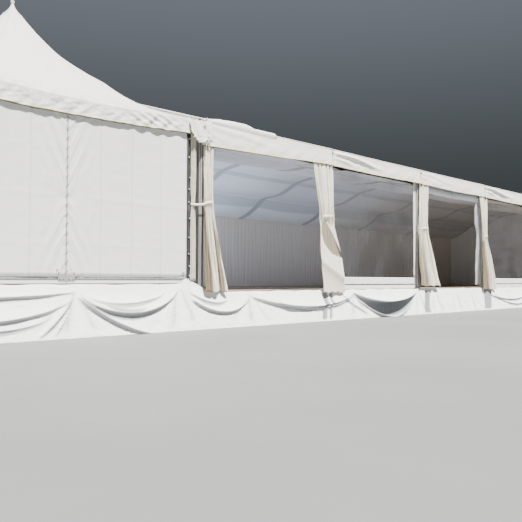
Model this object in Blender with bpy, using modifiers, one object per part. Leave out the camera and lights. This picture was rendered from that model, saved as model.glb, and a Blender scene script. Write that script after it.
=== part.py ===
"""Marquee tent on a raised floor.

A square high-peak tent stands at the left of a long pitched hall of equal bays. Both stand on a
boarded platform whose edge is dressed with a cloth skirt. Metres, +Z up, ground at z = 0, +X along
the front from the high-peak tent to the far gable, +Y from the front into the tent.
"""

import math

import bmesh
import bpy
from mathutils import Vector

# Clearance between pieces that touch
GAP = 0.0003

# Hall: bays and cross-section
BAY_LENGTH = 3.0
BAY_COUNT = 6
HALL_WIDTH = 6.0
PITCH = math.radians(18.5)
EAVE_HEIGHT = 3.13
LEG_WIDTH = 0.09
LEG_DEPTH = 0.11
RAFTER_DEPTH = 0.12
KNEE_DROP = 0.24
KNEE_REACH = 0.40

# Hall: beams that run from frame to frame
EAVE_BEAM_WIDTH = 0.085
EAVE_BEAM_HEIGHT = 0.13
PURLIN_SIZE = 0.06
RIDGE_BEAM_WIDTH = 0.07
RIDGE_BEAM_HEIGHT = 0.07

# Hall: covers
ROOF_THICKNESS = 0.02
ROOF_OVERHANG = 0.05
VERGE = 0.015
VALANCE_THICKNESS = 0.015
VALANCE_DROP = 0.30
WALL_THICKNESS = 0.012
WINDOW_SETBACK = 0.05
WINDOW_THICKNESS = 0.01
WINDOW_BAYS = (2, 4, 6)
ROLLED_BAYS = (3, 5)
ROLL_DROP = 0.16
ROLL_HEIGHT = 0.21
ROLL_DEPTH = 0.10

# Hall: inner lining
LINING_THICKNESS = 0.02
LINING_WALL_THICKNESS = 0.03
LINING_FRONT_EDGE_HEIGHT = 2.84
LINING_REAR_EDGE_HEIGHT = 2.52
LINING_RIDGE_HEIGHT = 3.38

# Lining: distance from the side and height at the edges of its swags
LINING_FRONT_SWAGS = ((0.55, 2.93), (1.07, 3.02), (1.80, 3.07), (2.35, 3.30))
LINING_REAR_SWAGS = ((0.55, 2.66), (0.90, 2.87), (1.07, 3.02), (1.80, 3.07), (2.35, 3.30))

# Platform
FLOOR_HEIGHT = 0.54
FLOOR_THICKNESS = 0.06
EDGE_BEAM_WIDTH = 0.06
EDGE_BEAM_HEIGHT = 0.12
BEARER_WIDTH = 0.06
BEARER_HEIGHT = 0.10
TIE_WIDTH = 0.04
TIE_HEIGHT = 0.05
POST_SIZE = 0.05
BEARERS_PER_BAY = 2
POSTS_PER_BEARER = 5

# Skirt
SKIRT_THICKNESS = 0.018
SKIRT_FLARE = 0.17

# Curtains, as offsets from the leg that each one is tied to
CURTAIN_TIE_HEIGHT = 1.88
CURTAIN_HEM_HEIGHT = 0.50
CURTAIN_SPREAD = 0.02
CURTAIN_GATHER = 0.11
CURTAIN_FOLD = 0.06
CURTAIN_WAIST_OUT = 0.10
CURTAIN_HEM_OUT = 0.24
CURTAIN_CORNER_SHARE = 0.25

# Left and right side of each curtain at its head, its tie and its hem
CURTAIN_SIDES = (
    ((0.02, 0.24), (0.01, 0.20), (-0.02, 0.43)),
    ((-0.54, 0.06), (-0.33, -0.04), (-0.36, 0.20)),
    ((0.01, 0.38), (-0.06, 0.25), (-0.12, 0.62)),
    ((-0.26, 0.20), (-0.13, 0.09), (-0.30, 0.41)),
    ((-0.30, 0.12), (-0.12, 0.10), (-0.16, 0.42)),
    ((-0.28, 0.16), (-0.12, 0.10), (-0.18, 0.42)),
    ((-0.24, -0.02), (-0.20, -0.01), (-0.43, 0.02)),
)
GAP_CURTAIN_LEFT = -0.225
GAP_CURTAIN_WIDTH = 0.10
GAP_CURTAIN_OUT = 0.045
GAP_CURTAIN_THICKNESS = 0.04

# High-peak tent
PEAK_SIZE = 3.80
PEAK_GAP = 0.233
PEAK_EAVE_HEIGHT = 3.08
PEAK_RISE = 1.80
PEAK_POWER = 1.3
PEAK_ROUND_SHARE = 0.54
PEAK_EAVE_SAG = 0.07
PEAK_HIP_DIP = 0.07
PEAK_HIP_SHARE = 0.30
PEAK_SHEET = 0.02
PEAK_VALANCE_DROP = 0.20
PEAK_FRAME_INSET = 0.04
PEAK_POST = 0.09
PEAK_BEAM_WIDTH = 0.06
PEAK_BEAM_HEIGHT = 0.10
PEAK_BEAM_INSET = 0.005
PEAK_FLOOR_HEIGHT = 0.66
PEAK_RAIL_HEIGHT = 0.048
PEAK_WALL_LIFT = 0.096
PEAK_WALL_LAP = 0.06
PEAK_WALL_SHORT = 0.03
PEAK_RING_RADIUS = 0.13
KING_POLE_RADIUS = 0.03
KING_POLE_FOOT_HEIGHT = 2.80
CABLE_RADIUS = 0.008
HUB_RADIUS = 0.06
HUB_HEIGHT = 0.04
CAP_HEIGHT = 0.23
CAP_POWER = 1.6
FINIAL_RADIUS = 0.028
FINIAL_NECK = 0.018

# Rain cover over the gap between the tents
COVER_FLAP_DROP = 0.33
COVER_FLAP_LEFT = -0.286
COVER_FLAP_LAP = 0.143
COVER_THICKNESS = 0.016
STRIP_LENGTH = 1.6
STRIP_DEPTH = 0.30
STRIP_TOP_DEPTH = 0.12
STRIP_RISE = 0.07

HALL_LENGTH = BAY_LENGTH * BAY_COUNT
HALL_START = -LEG_WIDTH / 2
HALL_END = HALL_LENGTH + LEG_WIDTH / 2
SLOPE = math.tan(PITCH)
RAFTER_PLUMB = RAFTER_DEPTH / math.cos(PITCH)
SKIRT_OUT = EDGE_BEAM_WIDTH + GAP + SKIRT_THICKNESS
PEAK_HALF = PEAK_SIZE / 2
PEAK_FRAME_HALF = PEAK_HALF - PEAK_FRAME_INSET

# Both skirts meet the ground on one line
PEAK_FLARE = SKIRT_FLARE + EDGE_BEAM_WIDTH - ROOF_OVERHANG + PEAK_FRAME_INSET

# The gutter sheet lies level with the lowest point of the high-peak tent's eave
GUTTER_TOP = PEAK_EAVE_HEIGHT - PEAK_EAVE_SAG

# The bounding box of the whole marquee is centred on the world origin
PEAK_LEFT = -PEAK_GAP - PEAK_HALF - PEAK_FRAME_HALF
LEFT_END = PEAK_LEFT - GAP - SKIRT_THICKNESS - PEAK_FLARE
RIGHT_END = HALL_END + SKIRT_OUT + SKIRT_FLARE
HALL_ORIGIN = Vector((-(LEFT_END + RIGHT_END) / 2, -HALL_WIDTH / 2, 0.0))
PEAK_CENTRE = HALL_ORIGIN + Vector((-PEAK_GAP - PEAK_HALF, PEAK_HALF - ROOF_OVERHANG, 0.0))


def clear_scene():
    for obj in list(bpy.data.objects):
        bpy.data.objects.remove(obj, do_unlink=True)


def new_collection(name):
    collection = bpy.data.collections.new(name)
    bpy.context.scene.collection.children.link(collection)
    return collection


def new_material(name, color, roughness, metallic=0.0, alpha=1.0):
    material = bpy.data.materials.new(name)
    material.use_nodes = True
    shader = material.node_tree.nodes["Principled BSDF"]
    shader.inputs["Base Color"].default_value = (*color, 1.0)
    shader.inputs["Roughness"].default_value = roughness
    shader.inputs["Metallic"].default_value = metallic
    shader.inputs["Alpha"].default_value = alpha
    return material


def new_parent(name, location):
    empty = bpy.data.objects.new(name, None)
    empty.location = location
    PARTS.objects.link(empty)
    return empty


def place(name, data, material, parent, collection=None):
    obj = bpy.data.objects.new(name, data)
    obj.parent = parent
    if not data.materials:
        data.materials.append(material)
    (collection or PARTS).objects.link(obj)
    return obj


def mesh_from(name, build):
    mesh = bpy.data.meshes.new(name)
    bm = bmesh.new()
    build(bm)
    bmesh.ops.recalc_face_normals(bm, faces=bm.faces)
    bm.to_mesh(mesh)
    bm.free()
    return mesh


def add_box(bm, low, high):
    """Adds one box between two corners to a bmesh."""
    made = bmesh.ops.create_cube(bm, size=1.0)["verts"]
    size = [b - a for a, b in zip(low, high)]
    centre = [(a + b) / 2 for a, b in zip(low, high)]
    bmesh.ops.scale(bm, vec=size, verts=made)
    bmesh.ops.translate(bm, vec=centre, verts=made)


def add_rod(bm, start, end, radius, segments=6):
    """Adds a straight closed rod between two points to a bmesh."""
    start = Vector(start)
    along = Vector(end) - start
    turn = along.to_track_quat("Z", "Y").to_matrix().to_4x4()
    turn.translation = start + along / 2
    bmesh.ops.create_cone(
        bm,
        cap_ends=True,
        segments=segments,
        radius1=radius,
        radius2=radius,
        depth=along.length,
        matrix=turn,
    )


def add_prism(bm, ring, step):
    """Adds a flat outline, swept along a straight step, to a bmesh."""
    face = bm.faces.new([bm.verts.new(point) for point in ring])
    moved = bmesh.ops.extrude_face_region(bm, geom=[face])["geom"]
    ends = [item for item in moved if isinstance(item, bmesh.types.BMVert)]
    bmesh.ops.translate(bm, vec=step, verts=ends)


def box(name, low, high, material, parent):
    return place(name, mesh_from(name, lambda bm: add_box(bm, low, high)), material, parent)


def boxes(name, corners, material, parent, collection=None):
    """Several boxes that don't touch, in one mesh."""

    def build(bm):
        for low, high in corners:
            add_box(bm, low, high)

    return place(name, mesh_from(name, build), material, parent, collection)


def outline(name, points, low, high, axis, material, parent):
    """A flat outline with thickness from low to high along one axis.

    The outline's points are (y, z) for axis X and (x, y) for axis Z.
    """
    curve = bpy.data.curves.new(name, "CURVE")
    curve.dimensions = "2D"
    curve.fill_mode = "BOTH"
    curve.extrude = (high - low) / 2
    spline = curve.splines.new("POLY")
    spline.points.add(len(points) - 1)
    for point, (a, b) in zip(spline.points, points):
        point.co = (a, b, 0.0, 1.0)
    spline.use_cyclic_u = True
    obj = place(name, curve, material, parent)
    middle = (low + high) / 2
    if axis == "X":
        obj.rotation_euler = (math.pi / 2, 0.0, math.pi / 2)
        obj.location = (middle, 0.0, 0.0)
    else:
        obj.location = (0.0, 0.0, middle)
    return obj


def loft(name, rings, material, parent):
    """A closed body through rings of equal point counts, capped at both ends."""

    def build(bm):
        loops = [[bm.verts.new(point) for point in ring] for ring in rings]
        count = len(loops[0])
        for lower, upper in zip(loops, loops[1:]):
            for i in range(count):
                j = (i + 1) % count
                bm.faces.new((lower[i], lower[j], upper[j], upper[i]))
        bm.faces.new(reversed(loops[0]))
        bm.faces.new(loops[-1])

    return place(name, mesh_from(name, build), material, parent)


def union(obj, tool):
    """Joins a tool mesh to an object, so that both are one body."""
    tool.hide_render = True
    tool.display_type = "WIRE"
    modifier = obj.modifiers.new("join_" + tool.name, "BOOLEAN")
    modifier.operation = "UNION"
    modifier.solver = "EXACT"
    modifier.object = tool


def roof_plane(y):
    """Height of the rafters' top face, which carries the roof cover."""
    return EAVE_HEIGHT + min(y, HALL_WIDTH - y) * SLOPE


# Hall frame

PURLIN_Y = HALL_WIDTH / 4
PURLIN_TOP_Z = EAVE_HEIGHT + (PURLIN_Y - PURLIN_SIZE / 2) * SLOPE - GAP
RIDGE_TOP_Z = EAVE_HEIGHT + (HALL_WIDTH / 2 - RIDGE_BEAM_WIDTH / 2) * SLOPE - GAP


def frame_outline():
    """Front half of a portal frame: leg, notches for the beams, rafter and knee."""
    shelf_z = EAVE_HEIGHT - EAVE_BEAM_HEIGHT - GAP
    shelf_y = EAVE_BEAM_WIDTH + GAP
    purlin_low = PURLIN_Y - PURLIN_SIZE / 2 - GAP
    purlin_high = PURLIN_Y + PURLIN_SIZE / 2 + GAP
    purlin_seat = PURLIN_TOP_Z - PURLIN_SIZE - GAP
    ridge_low = HALL_WIDTH / 2 - RIDGE_BEAM_WIDTH / 2 - GAP
    ridge_seat = RIDGE_TOP_Z - RIDGE_BEAM_HEIGHT - GAP
    outer = [
        (0.0, 0.0),
        (0.0, shelf_z),
        (shelf_y, shelf_z),
        (shelf_y, roof_plane(shelf_y) - GAP),
        (purlin_low, roof_plane(purlin_low) - GAP),
        (purlin_low, purlin_seat),
        (purlin_high, purlin_seat),
        (purlin_high, roof_plane(purlin_high) - GAP),
        (ridge_low, roof_plane(ridge_low) - GAP),
        (ridge_low, ridge_seat),
    ]
    inner = [
        (HALL_WIDTH / 2, roof_plane(HALL_WIDTH / 2) - RAFTER_PLUMB),
        (KNEE_REACH, roof_plane(KNEE_REACH) - RAFTER_PLUMB),
        (LEG_DEPTH, EAVE_HEIGHT - KNEE_DROP),
        (LEG_DEPTH, 0.0),
    ]
    rear_outer = [(HALL_WIDTH - y, z) for y, z in reversed(outer)]
    rear_inner = [(HALL_WIDTH - y, z) for y, z in reversed(inner[1:])]
    return outer + rear_outer + rear_inner + inner


def leg_x(index):
    """Centre of the frame with this index, from 0 at the left gable."""
    return index * BAY_LENGTH


def build_hall_frames():
    points = frame_outline()
    for index in range(BAY_COUNT + 1):
        x = leg_x(index)
        name = f"hall_frame_{index + 1}"
        outline(name, points, x - LEG_WIDTH / 2, x + LEG_WIDTH / 2, "X", ALUMINIUM, HALL)


def build_hall_beams():
    eave_top = EAVE_HEIGHT - GAP
    eave_low = EAVE_HEIGHT - EAVE_BEAM_HEIGHT
    sides = {
        "front_eave_beam": (0.0, EAVE_BEAM_WIDTH),
        "rear_eave_beam": (HALL_WIDTH - EAVE_BEAM_WIDTH, HALL_WIDTH),
    }
    for name, (y_low, y_high) in sides.items():
        box(name, (HALL_START, y_low, eave_low), (HALL_END, y_high, eave_top), ALUMINIUM, HALL)
    purlins = {"front_purlin": PURLIN_Y, "rear_purlin": HALL_WIDTH - PURLIN_Y}
    for name, y in purlins.items():
        low = (HALL_START, y - PURLIN_SIZE / 2, PURLIN_TOP_Z - PURLIN_SIZE)
        high = (HALL_END, y + PURLIN_SIZE / 2, PURLIN_TOP_Z)
        box(name, low, high, ALUMINIUM, HALL)
    half = RIDGE_BEAM_WIDTH / 2
    low = (HALL_START, HALL_WIDTH / 2 - half, RIDGE_TOP_Z - RIDGE_BEAM_HEIGHT)
    high = (HALL_END, HALL_WIDTH / 2 + half, RIDGE_TOP_Z)
    box("ridge_beam", low, high, ALUMINIUM, HALL)


# Hall covers


def build_hall_roof():
    ridge_y = HALL_WIDTH / 2 - GAP / 2
    low_z = EAVE_HEIGHT - ROOF_OVERHANG * SLOPE
    top = ROOF_THICKNESS / math.cos(PITCH)
    front = [
        (-ROOF_OVERHANG, low_z),
        (ridge_y, roof_plane(ridge_y)),
        (ridge_y, roof_plane(ridge_y) + top),
        (-ROOF_OVERHANG, low_z + top),
    ]
    rear = [(HALL_WIDTH - y, z) for y, z in reversed(front)]
    start = HALL_START - VERGE
    end = HALL_END + VERGE
    outline("roof_front_slope", front, start, end, "X", PVC, HALL)
    outline("roof_rear_slope", rear, start, end, "X", PVC, HALL)
    top_z = low_z - GAP
    low_edge = EAVE_HEIGHT - VALANCE_DROP
    out = ROOF_OVERHANG
    inner = ROOF_OVERHANG - VALANCE_THICKNESS
    front_low = (HALL_START, -out, low_edge)
    front_high = (HALL_END, -inner, top_z)
    box("valance_front", front_low, front_high, PVC, HALL)
    rear_low = (HALL_START, HALL_WIDTH + inner, low_edge)
    rear_high = (HALL_END, HALL_WIDTH + out, top_z)
    box("valance_rear", rear_low, rear_high, PVC, HALL)


def build_gables():
    base = FLOOR_HEIGHT + GAP
    crown = [
        (HALL_WIDTH, roof_plane(HALL_WIDTH) - GAP),
        (HALL_WIDTH / 2, roof_plane(HALL_WIDTH / 2) - GAP),
        (0.0, roof_plane(0.0) - GAP),
    ]
    right = [(0.0, base), (HALL_WIDTH, base)] + crown
    x = HALL_END + GAP
    outline("gable_right", right, x, x + WALL_THICKNESS, "X", PVC, HALL)
    head = PEAK_EAVE_HEIGHT - PEAK_VALANCE_DROP
    left = [(0.0, head), (PASSAGE_END, head), (PASSAGE_END, base), (HALL_WIDTH, base)] + crown
    x = HALL_START - GAP
    outline("gable_left", left, x - WALL_THICKNESS, x, "X", PVC, HALL)


def build_rear_wall():
    low = (HALL_START, HALL_WIDTH + GAP, FLOOR_HEIGHT + GAP)
    high = (HALL_END, HALL_WIDTH + WALL_THICKNESS, EAVE_HEIGHT - EAVE_BEAM_HEIGHT / 2)
    box("rear_wall", low, high, PVC, HALL)


def bay_span(bay):
    """Start and end of the clear width of a bay, counted from 1."""
    start = leg_x(bay - 1) + LEG_WIDTH / 2 + GAP
    end = leg_x(bay) - LEG_WIDTH / 2 - GAP
    return start, end


def build_windows():
    head = EAVE_HEIGHT - EAVE_BEAM_HEIGHT - GAP
    for bay in WINDOW_BAYS:
        start, end = bay_span(bay)
        low = (start, WINDOW_SETBACK, FLOOR_HEIGHT + GAP)
        high = (end, WINDOW_SETBACK + WINDOW_THICKNESS, head)
        box(f"window_bay_{bay}", low, high, CLEAR_FOIL, HALL)
    centre_y = WINDOW_SETBACK + WINDOW_THICKNESS / 2
    centre_z = head - ROLL_DROP - ROLL_HEIGHT / 2
    neck = WINDOW_THICKNESS / ROLL_DEPTH
    count = 12
    roll = [(centre_y + WINDOW_THICKNESS / 2, head), (centre_y - WINDOW_THICKNESS / 2, head)]
    first = math.pi / 2 + math.asin(neck)
    turn = 2 * math.pi - 2 * math.asin(neck)
    for i in range(count + 1):
        angle = first + turn * i / count
        y = centre_y + ROLL_DEPTH / 2 * math.cos(angle)
        z = centre_z + ROLL_HEIGHT / 2 * math.sin(angle)
        roll.append((y, z))
    for bay in ROLLED_BAYS:
        start, end = bay_span(bay)
        outline(f"rolled_window_{bay}", roll, start, end, "X", CLEAR_FOIL, HALL)


def build_lining():
    """Ceiling lining that hangs from leg to leg in swags, highest under the ridge."""
    edge = LEG_DEPTH + GAP
    ridge = (HALL_WIDTH / 2 - GAP / 2, LINING_RIDGE_HEIGHT)

    def side(edge_z, swags):
        run = [(edge, edge_z), *swags, ridge]
        under = [(y, z - LINING_THICKNESS) for y, z in reversed(run)]
        return run + under

    front = side(LINING_FRONT_EDGE_HEIGHT, LINING_FRONT_SWAGS)
    rear_run = side(LINING_REAR_EDGE_HEIGHT, LINING_REAR_SWAGS)
    rear = [(HALL_WIDTH - y, z) for y, z in reversed(rear_run)]
    outline("roof_lining_front", front, HALL_START, HALL_END, "X", LINING, HALL)
    outline("roof_lining_rear", rear, HALL_START, HALL_END, "X", LINING, HALL)
    back = HALL_WIDTH - LEG_DEPTH - GAP
    low = (HALL_START, back - LINING_WALL_THICKNESS, FLOOR_HEIGHT + GAP)
    high = (HALL_END, back, LINING_REAR_EDGE_HEIGHT - LINING_THICKNESS - GAP)
    box("rear_wall_lining", low, high, LINING, HALL)


def curtain_rings(head_sides, tie_sides, hem_sides):
    """Cross-sections of a tied-back curtain, from its head to its hem.

    The sides are offsets from the centre of its leg. Each row holds the height, the two sides
    along the front, and how far the front and back faces stand out from the legs.
    """
    head_left, head_right = head_sides
    tie_left, tie_right = tie_sides
    hem_left, hem_right = hem_sides
    head = EAVE_HEIGHT - EAVE_BEAM_HEIGHT / 2
    below = EAVE_HEIGHT - COVER_FLAP_DROP - CURTAIN_FOLD
    behind = ROOF_OVERHANG - VALANCE_THICKNESS - 2 * GAP
    middle = (CURTAIN_TIE_HEIGHT + CURTAIN_HEM_HEIGHT) / 2
    loose_left, loose_right = tie_left - CURTAIN_SPREAD, tie_right + CURTAIN_SPREAD
    waist_out = CURTAIN_WAIST_OUT
    loose_out = waist_out + CURTAIN_SPREAD
    middle_left, middle_right = (tie_left + hem_left) / 2, (tie_right + hem_right) / 2
    middle_out = (waist_out + CURTAIN_HEM_OUT) / 2
    hem_back = SKIRT_OUT + CURTAIN_SPREAD
    rows = [
        (head, head_left, head_right, behind, GAP),
        (EAVE_HEIGHT - VALANCE_DROP, head_left, head_right, behind, GAP),
        (below, head_left, head_right, CURTAIN_FOLD, GAP),
        (CURTAIN_TIE_HEIGHT + CURTAIN_GATHER, loose_left, loose_right, loose_out, GAP),
        (CURTAIN_TIE_HEIGHT, tie_left, tie_right, waist_out, GAP),
        (CURTAIN_TIE_HEIGHT - CURTAIN_GATHER, loose_left, loose_right, loose_out, GAP),
        (middle, middle_left, middle_right, middle_out, hem_back / 2),
        (CURTAIN_HEM_HEIGHT, hem_left, hem_right, CURTAIN_HEM_OUT, hem_back),
    ]
    rings = []
    for z, left, right, out, back in rows:
        cut = min(right - left, out - back) * CURTAIN_CORNER_SHARE
        rings.append(
            [
                (left + cut, -out, z),
                (right - cut, -out, z),
                (right, -out + cut, z),
                (right, -back - cut, z),
                (right - cut, -back, z),
                (left + cut, -back, z),
                (left, -back - cut, z),
                (left, -out + cut, z),
            ]
        )
    return rings


def build_curtains():
    for index, sides in enumerate(CURTAIN_SIDES):
        x = leg_x(index)
        placed = [[(x + px, py, pz) for px, py, pz in ring] for ring in curtain_rings(*sides)]
        loft(f"curtain_{index + 1}", placed, CURTAIN, HALL)


# Platform


def build_hall_floor():
    """Boarded floor, notched round the legs."""
    reach = LEG_DEPTH + GAP
    front = []
    for index in range(BAY_COUNT + 1):
        left = leg_x(index) - LEG_WIDTH / 2 - GAP
        right = leg_x(index) + LEG_WIDTH / 2 + GAP
        if index == 0:
            front.append((HALL_START, reach))
        else:
            front += [(left, 0.0), (left, reach)]
        if index == BAY_COUNT:
            front.append((HALL_END, reach))
        else:
            front += [(right, reach), (right, 0.0)]
    points = front + [(x, HALL_WIDTH - y) for x, y in reversed(front)]
    low = FLOOR_HEIGHT - FLOOR_THICKNESS
    outline("hall_floor", points, low, FLOOR_HEIGHT, "Z", BOARDS, HALL)


def build_hall_podium():
    """Edge beams, cross bearers and their posts, as one welded grid."""
    top = FLOOR_HEIGHT - FLOOR_THICKNESS - GAP
    outer = EDGE_BEAM_WIDTH
    beam_low = FLOOR_HEIGHT - EDGE_BEAM_HEIGHT
    edges = [
        ((HALL_START, -outer, beam_low), (HALL_END, -GAP, FLOOR_HEIGHT)),
        ((HALL_START, HALL_WIDTH + GAP, beam_low), (HALL_END, HALL_WIDTH + outer, FLOOR_HEIGHT)),
    ]
    podium = boxes("hall_podium", edges, ALUMINIUM, HALL)
    trestle = []
    reach = outer / 2
    pitch = (HALL_WIDTH + 2 * reach - POST_SIZE) / (POSTS_PER_BEARER - 1)
    bearer_low = top - BEARER_HEIGHT
    trestle.append((-reach, top))
    trestle.append((HALL_WIDTH + reach, top))
    for i in reversed(range(POSTS_PER_BEARER)):
        left = -reach + i * pitch
        right = left + POST_SIZE
        if i < POSTS_PER_BEARER - 1:
            trestle.append((right, bearer_low))
        trestle.append((right, 0.0))
        trestle.append((left, 0.0))
        if i > 0:
            trestle.append((left, bearer_low))

    def build(bm):
        step = BAY_LENGTH / BEARERS_PER_BAY
        for k in range(BAY_COUNT * BEARERS_PER_BAY):
            left = step * (k + 0.5) - BEARER_WIDTH / 2
            add_prism(bm, [(left, y, z) for y, z in trestle], (BEARER_WIDTH, 0.0, 0.0))

    tool = place("podium_trestles", mesh_from("podium_trestles", build), ALUMINIUM, HALL, CUTTERS)
    union(podium, tool)


def skirt(name, start, end, side, heights, shifts, parent, flare=SKIRT_FLARE):
    """One side of the skirt: a sheet that leans out from the platform's edge to the ground.

    start and end are the ends of its inner top edge and side its outward direction. shifts say
    how far each end moves along the sheet at the ground, and by the sheet's thickness at a
    corner.
    """
    start, end, side = Vector(start), Vector(end), Vector(side)
    along = (end - start).normalized()
    low, high = heights
    first, last = shifts
    thick = side * SKIRT_THICKNESS
    first_lap = along * (SKIRT_THICKNESS if first > 0 else 0.0)
    last_lap = along * (SKIRT_THICKNESS if last > 0 else 0.0)
    rings = []
    for z, lean in ((low, flare), (high, 0.0)):
        a = start + side * lean - along * first * lean
        b = end + side * lean + along * last * lean
        ring = [a, b, b + thick + last_lap, a + thick - first_lap]
        rings.append([(p.x, p.y, z) for p in ring])
    return loft(name, rings, SKIRT_CLOTH, parent)


def build_hall_skirts():
    out = EDGE_BEAM_WIDTH + GAP
    heights = (0.0, FLOOR_HEIGHT)
    left = -PEAK_GAP - PEAK_FRAME_INSET + GAP
    right = HALL_END + out - GAP
    front_start = (left, -out, 0.0)
    skirt("skirt_front", front_start, (right, -out, 0.0), (0, -1, 0), heights, (0, 1), HALL)
    low = (right + GAP, -out + GAP, 0.0)
    high = (right + GAP, HALL_WIDTH + out - GAP, 0.0)
    skirt("skirt_right", low, high, (1, 0, 0), heights, (1, 1), HALL)
    rear_start = (HALL_START - out + GAP, HALL_WIDTH + out, 0.0)
    skirt("skirt_rear", (right, HALL_WIDTH + out, 0.0), rear_start, (0, 1, 0), heights, (1, 1), HALL)
    edge = HALL_START - out
    behind = PEAK_CENTRE.y - HALL_ORIGIN.y + PEAK_FRAME_HALF + SKIRT_THICKNESS + 4 * GAP
    lean_at_top = PEAK_FLARE * (1.0 - FLOOR_HEIGHT / (PEAK_FLOOR_HEIGHT - GAP))
    retreat = (PEAK_FLARE - lean_at_top) / SKIRT_FLARE
    high = (edge, HALL_WIDTH + out - GAP, 0.0)
    low = (edge, behind + lean_at_top, 0.0)
    skirt("skirt_left", high, low, (-1, 0, 0), heights, (1, -retreat), HALL)


# High-peak tent

PASSAGE_END = PEAK_SIZE - ROOF_OVERHANG - PEAK_FRAME_INSET - PEAK_POST - 2 * GAP


def peak_point(across, share, inset, sink):
    """A point on the roof sheet above the front side of the high-peak tent.

    across runs from -1 to 1 between the two hips, and share from 0 at the eave to 1 at the peak.
    The plan shrinks with height by a power, and turns from a square into a circle. Between the
    corners the eave sags, less and less towards the peak, and just above it the hips dip.
    """
    half = PEAK_HALF - inset
    reach = half * (1.0 - share) ** PEAK_POWER
    square = max(0.0, 1.0 - share / PEAK_ROUND_SHARE)
    angle = across * math.pi / 4
    radius = reach / math.cos(angle) ** square
    sag = PEAK_EAVE_SAG * (1.0 - across * across) * square**3
    hip = min(1.0, share / PEAK_HIP_SHARE)
    sag += PEAK_HIP_DIP * across * across * 4.0 * hip * (1.0 - hip)
    z = PEAK_EAVE_HEIGHT + PEAK_RISE * share - sag - sink
    return Vector((radius * math.sin(angle), -radius * math.cos(angle), z))


def peak_top_share():
    """Share of the rise where the sheet meets the ring under the cap."""
    return 1.0 - (PEAK_RING_RADIUS / PEAK_HALF) ** (1.0 / PEAK_POWER)


def peak_grid(inset, sink, columns, rows):
    """Points of the valance flap and the roof sheet above one side."""
    grid = []
    top = peak_top_share()
    flap = PEAK_VALANCE_DROP - sink
    for j in range(rows + 2):
        share = top * max(0, j - 1) / rows
        line = []
        for i in range(columns + 1):
            point = peak_point(2.0 * i / columns - 1.0, share, inset, sink)
            if j == 0:
                point.z -= flap
            line.append(point)
        grid.append(line)
    return grid


def build_peak_roof():
    columns = 6
    rows = 8
    outer = peak_grid(0.0, 0.0, columns, rows)
    inner = peak_grid(PEAK_SHEET, PEAK_SHEET, columns, rows)
    for point in inner[-1]:
        point.z = outer[-1][0].z

    def build(bm):
        grids = [[[bm.verts.new(p) for p in line] for line in grid] for grid in (outer, inner)]
        last_row = len(outer) - 1
        for grid in grids:
            for a, b in zip(grid, grid[1:]):
                for i in range(columns):
                    bm.faces.new((a[i], a[i + 1], b[i + 1], b[i]))
        out, back = grids
        for i in range(columns):
            for j in (0, last_row):
                bm.faces.new((out[j][i], out[j][i + 1], back[j][i + 1], back[j][i]))
        for j in range(last_row):
            for i in (0, columns):
                bm.faces.new((out[j][i], out[j + 1][i], back[j + 1][i], back[j][i]))

    mesh = mesh_from("peak_roof_side", build)
    for turn, side in enumerate(("front", "right", "rear", "left")):
        obj = place(f"peak_roof_{side}", mesh, PVC, PEAK)
        angle = turn * math.pi / 2
        obj.rotation_euler = (0.0, 0.0, angle)
        obj.location = (math.sin(angle) * GAP, -math.cos(angle) * GAP, 0.0)


def build_peak_frame():
    """Corner posts, eave beams and base rails, as one welded frame, open to the hall."""
    half = PEAK_FRAME_HALF
    top = PEAK_EAVE_HEIGHT - PEAK_SHEET * 2
    near = half - PEAK_POST
    posts = [
        ((-half, -half, 0.0), (-near, -near, top)),
        ((near, -half, 0.0), (half, -near, top)),
        ((-half, near, 0.0), (-near, half, top)),
        ((near, near, 0.0), (half, half, top)),
    ]
    frame = boxes("peak_frame", posts, ALUMINIUM, PEAK)
    out = half - PEAK_BEAM_INSET
    back = out - PEAK_BEAM_WIDTH
    reach = half - PEAK_POST / 2
    beam_top = top - PEAK_EAVE_SAG
    beam = (beam_top - PEAK_BEAM_HEIGHT, beam_top - PEAK_BEAM_INSET)
    rail = (PEAK_FLOOR_HEIGHT + GAP, PEAK_FLOOR_HEIGHT + GAP + PEAK_RAIL_HEIGHT)
    along_x = []
    along_y = []
    for low, high in (beam, rail):
        along_x.append(((-reach, -out, low), (reach, -back, high)))
        along_x.append(((-reach, back, low), (reach, out, high)))
        along_y.append(((-out, -reach, low), (-back, reach, high)))
    along_y.append(((back, -reach, beam[0]), (out, reach, beam[1])))
    union(frame, boxes("peak_cross_beams", along_x, ALUMINIUM, PEAK, CUTTERS))
    union(frame, boxes("peak_side_beams", along_y, ALUMINIUM, PEAK, CUTTERS))


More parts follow.
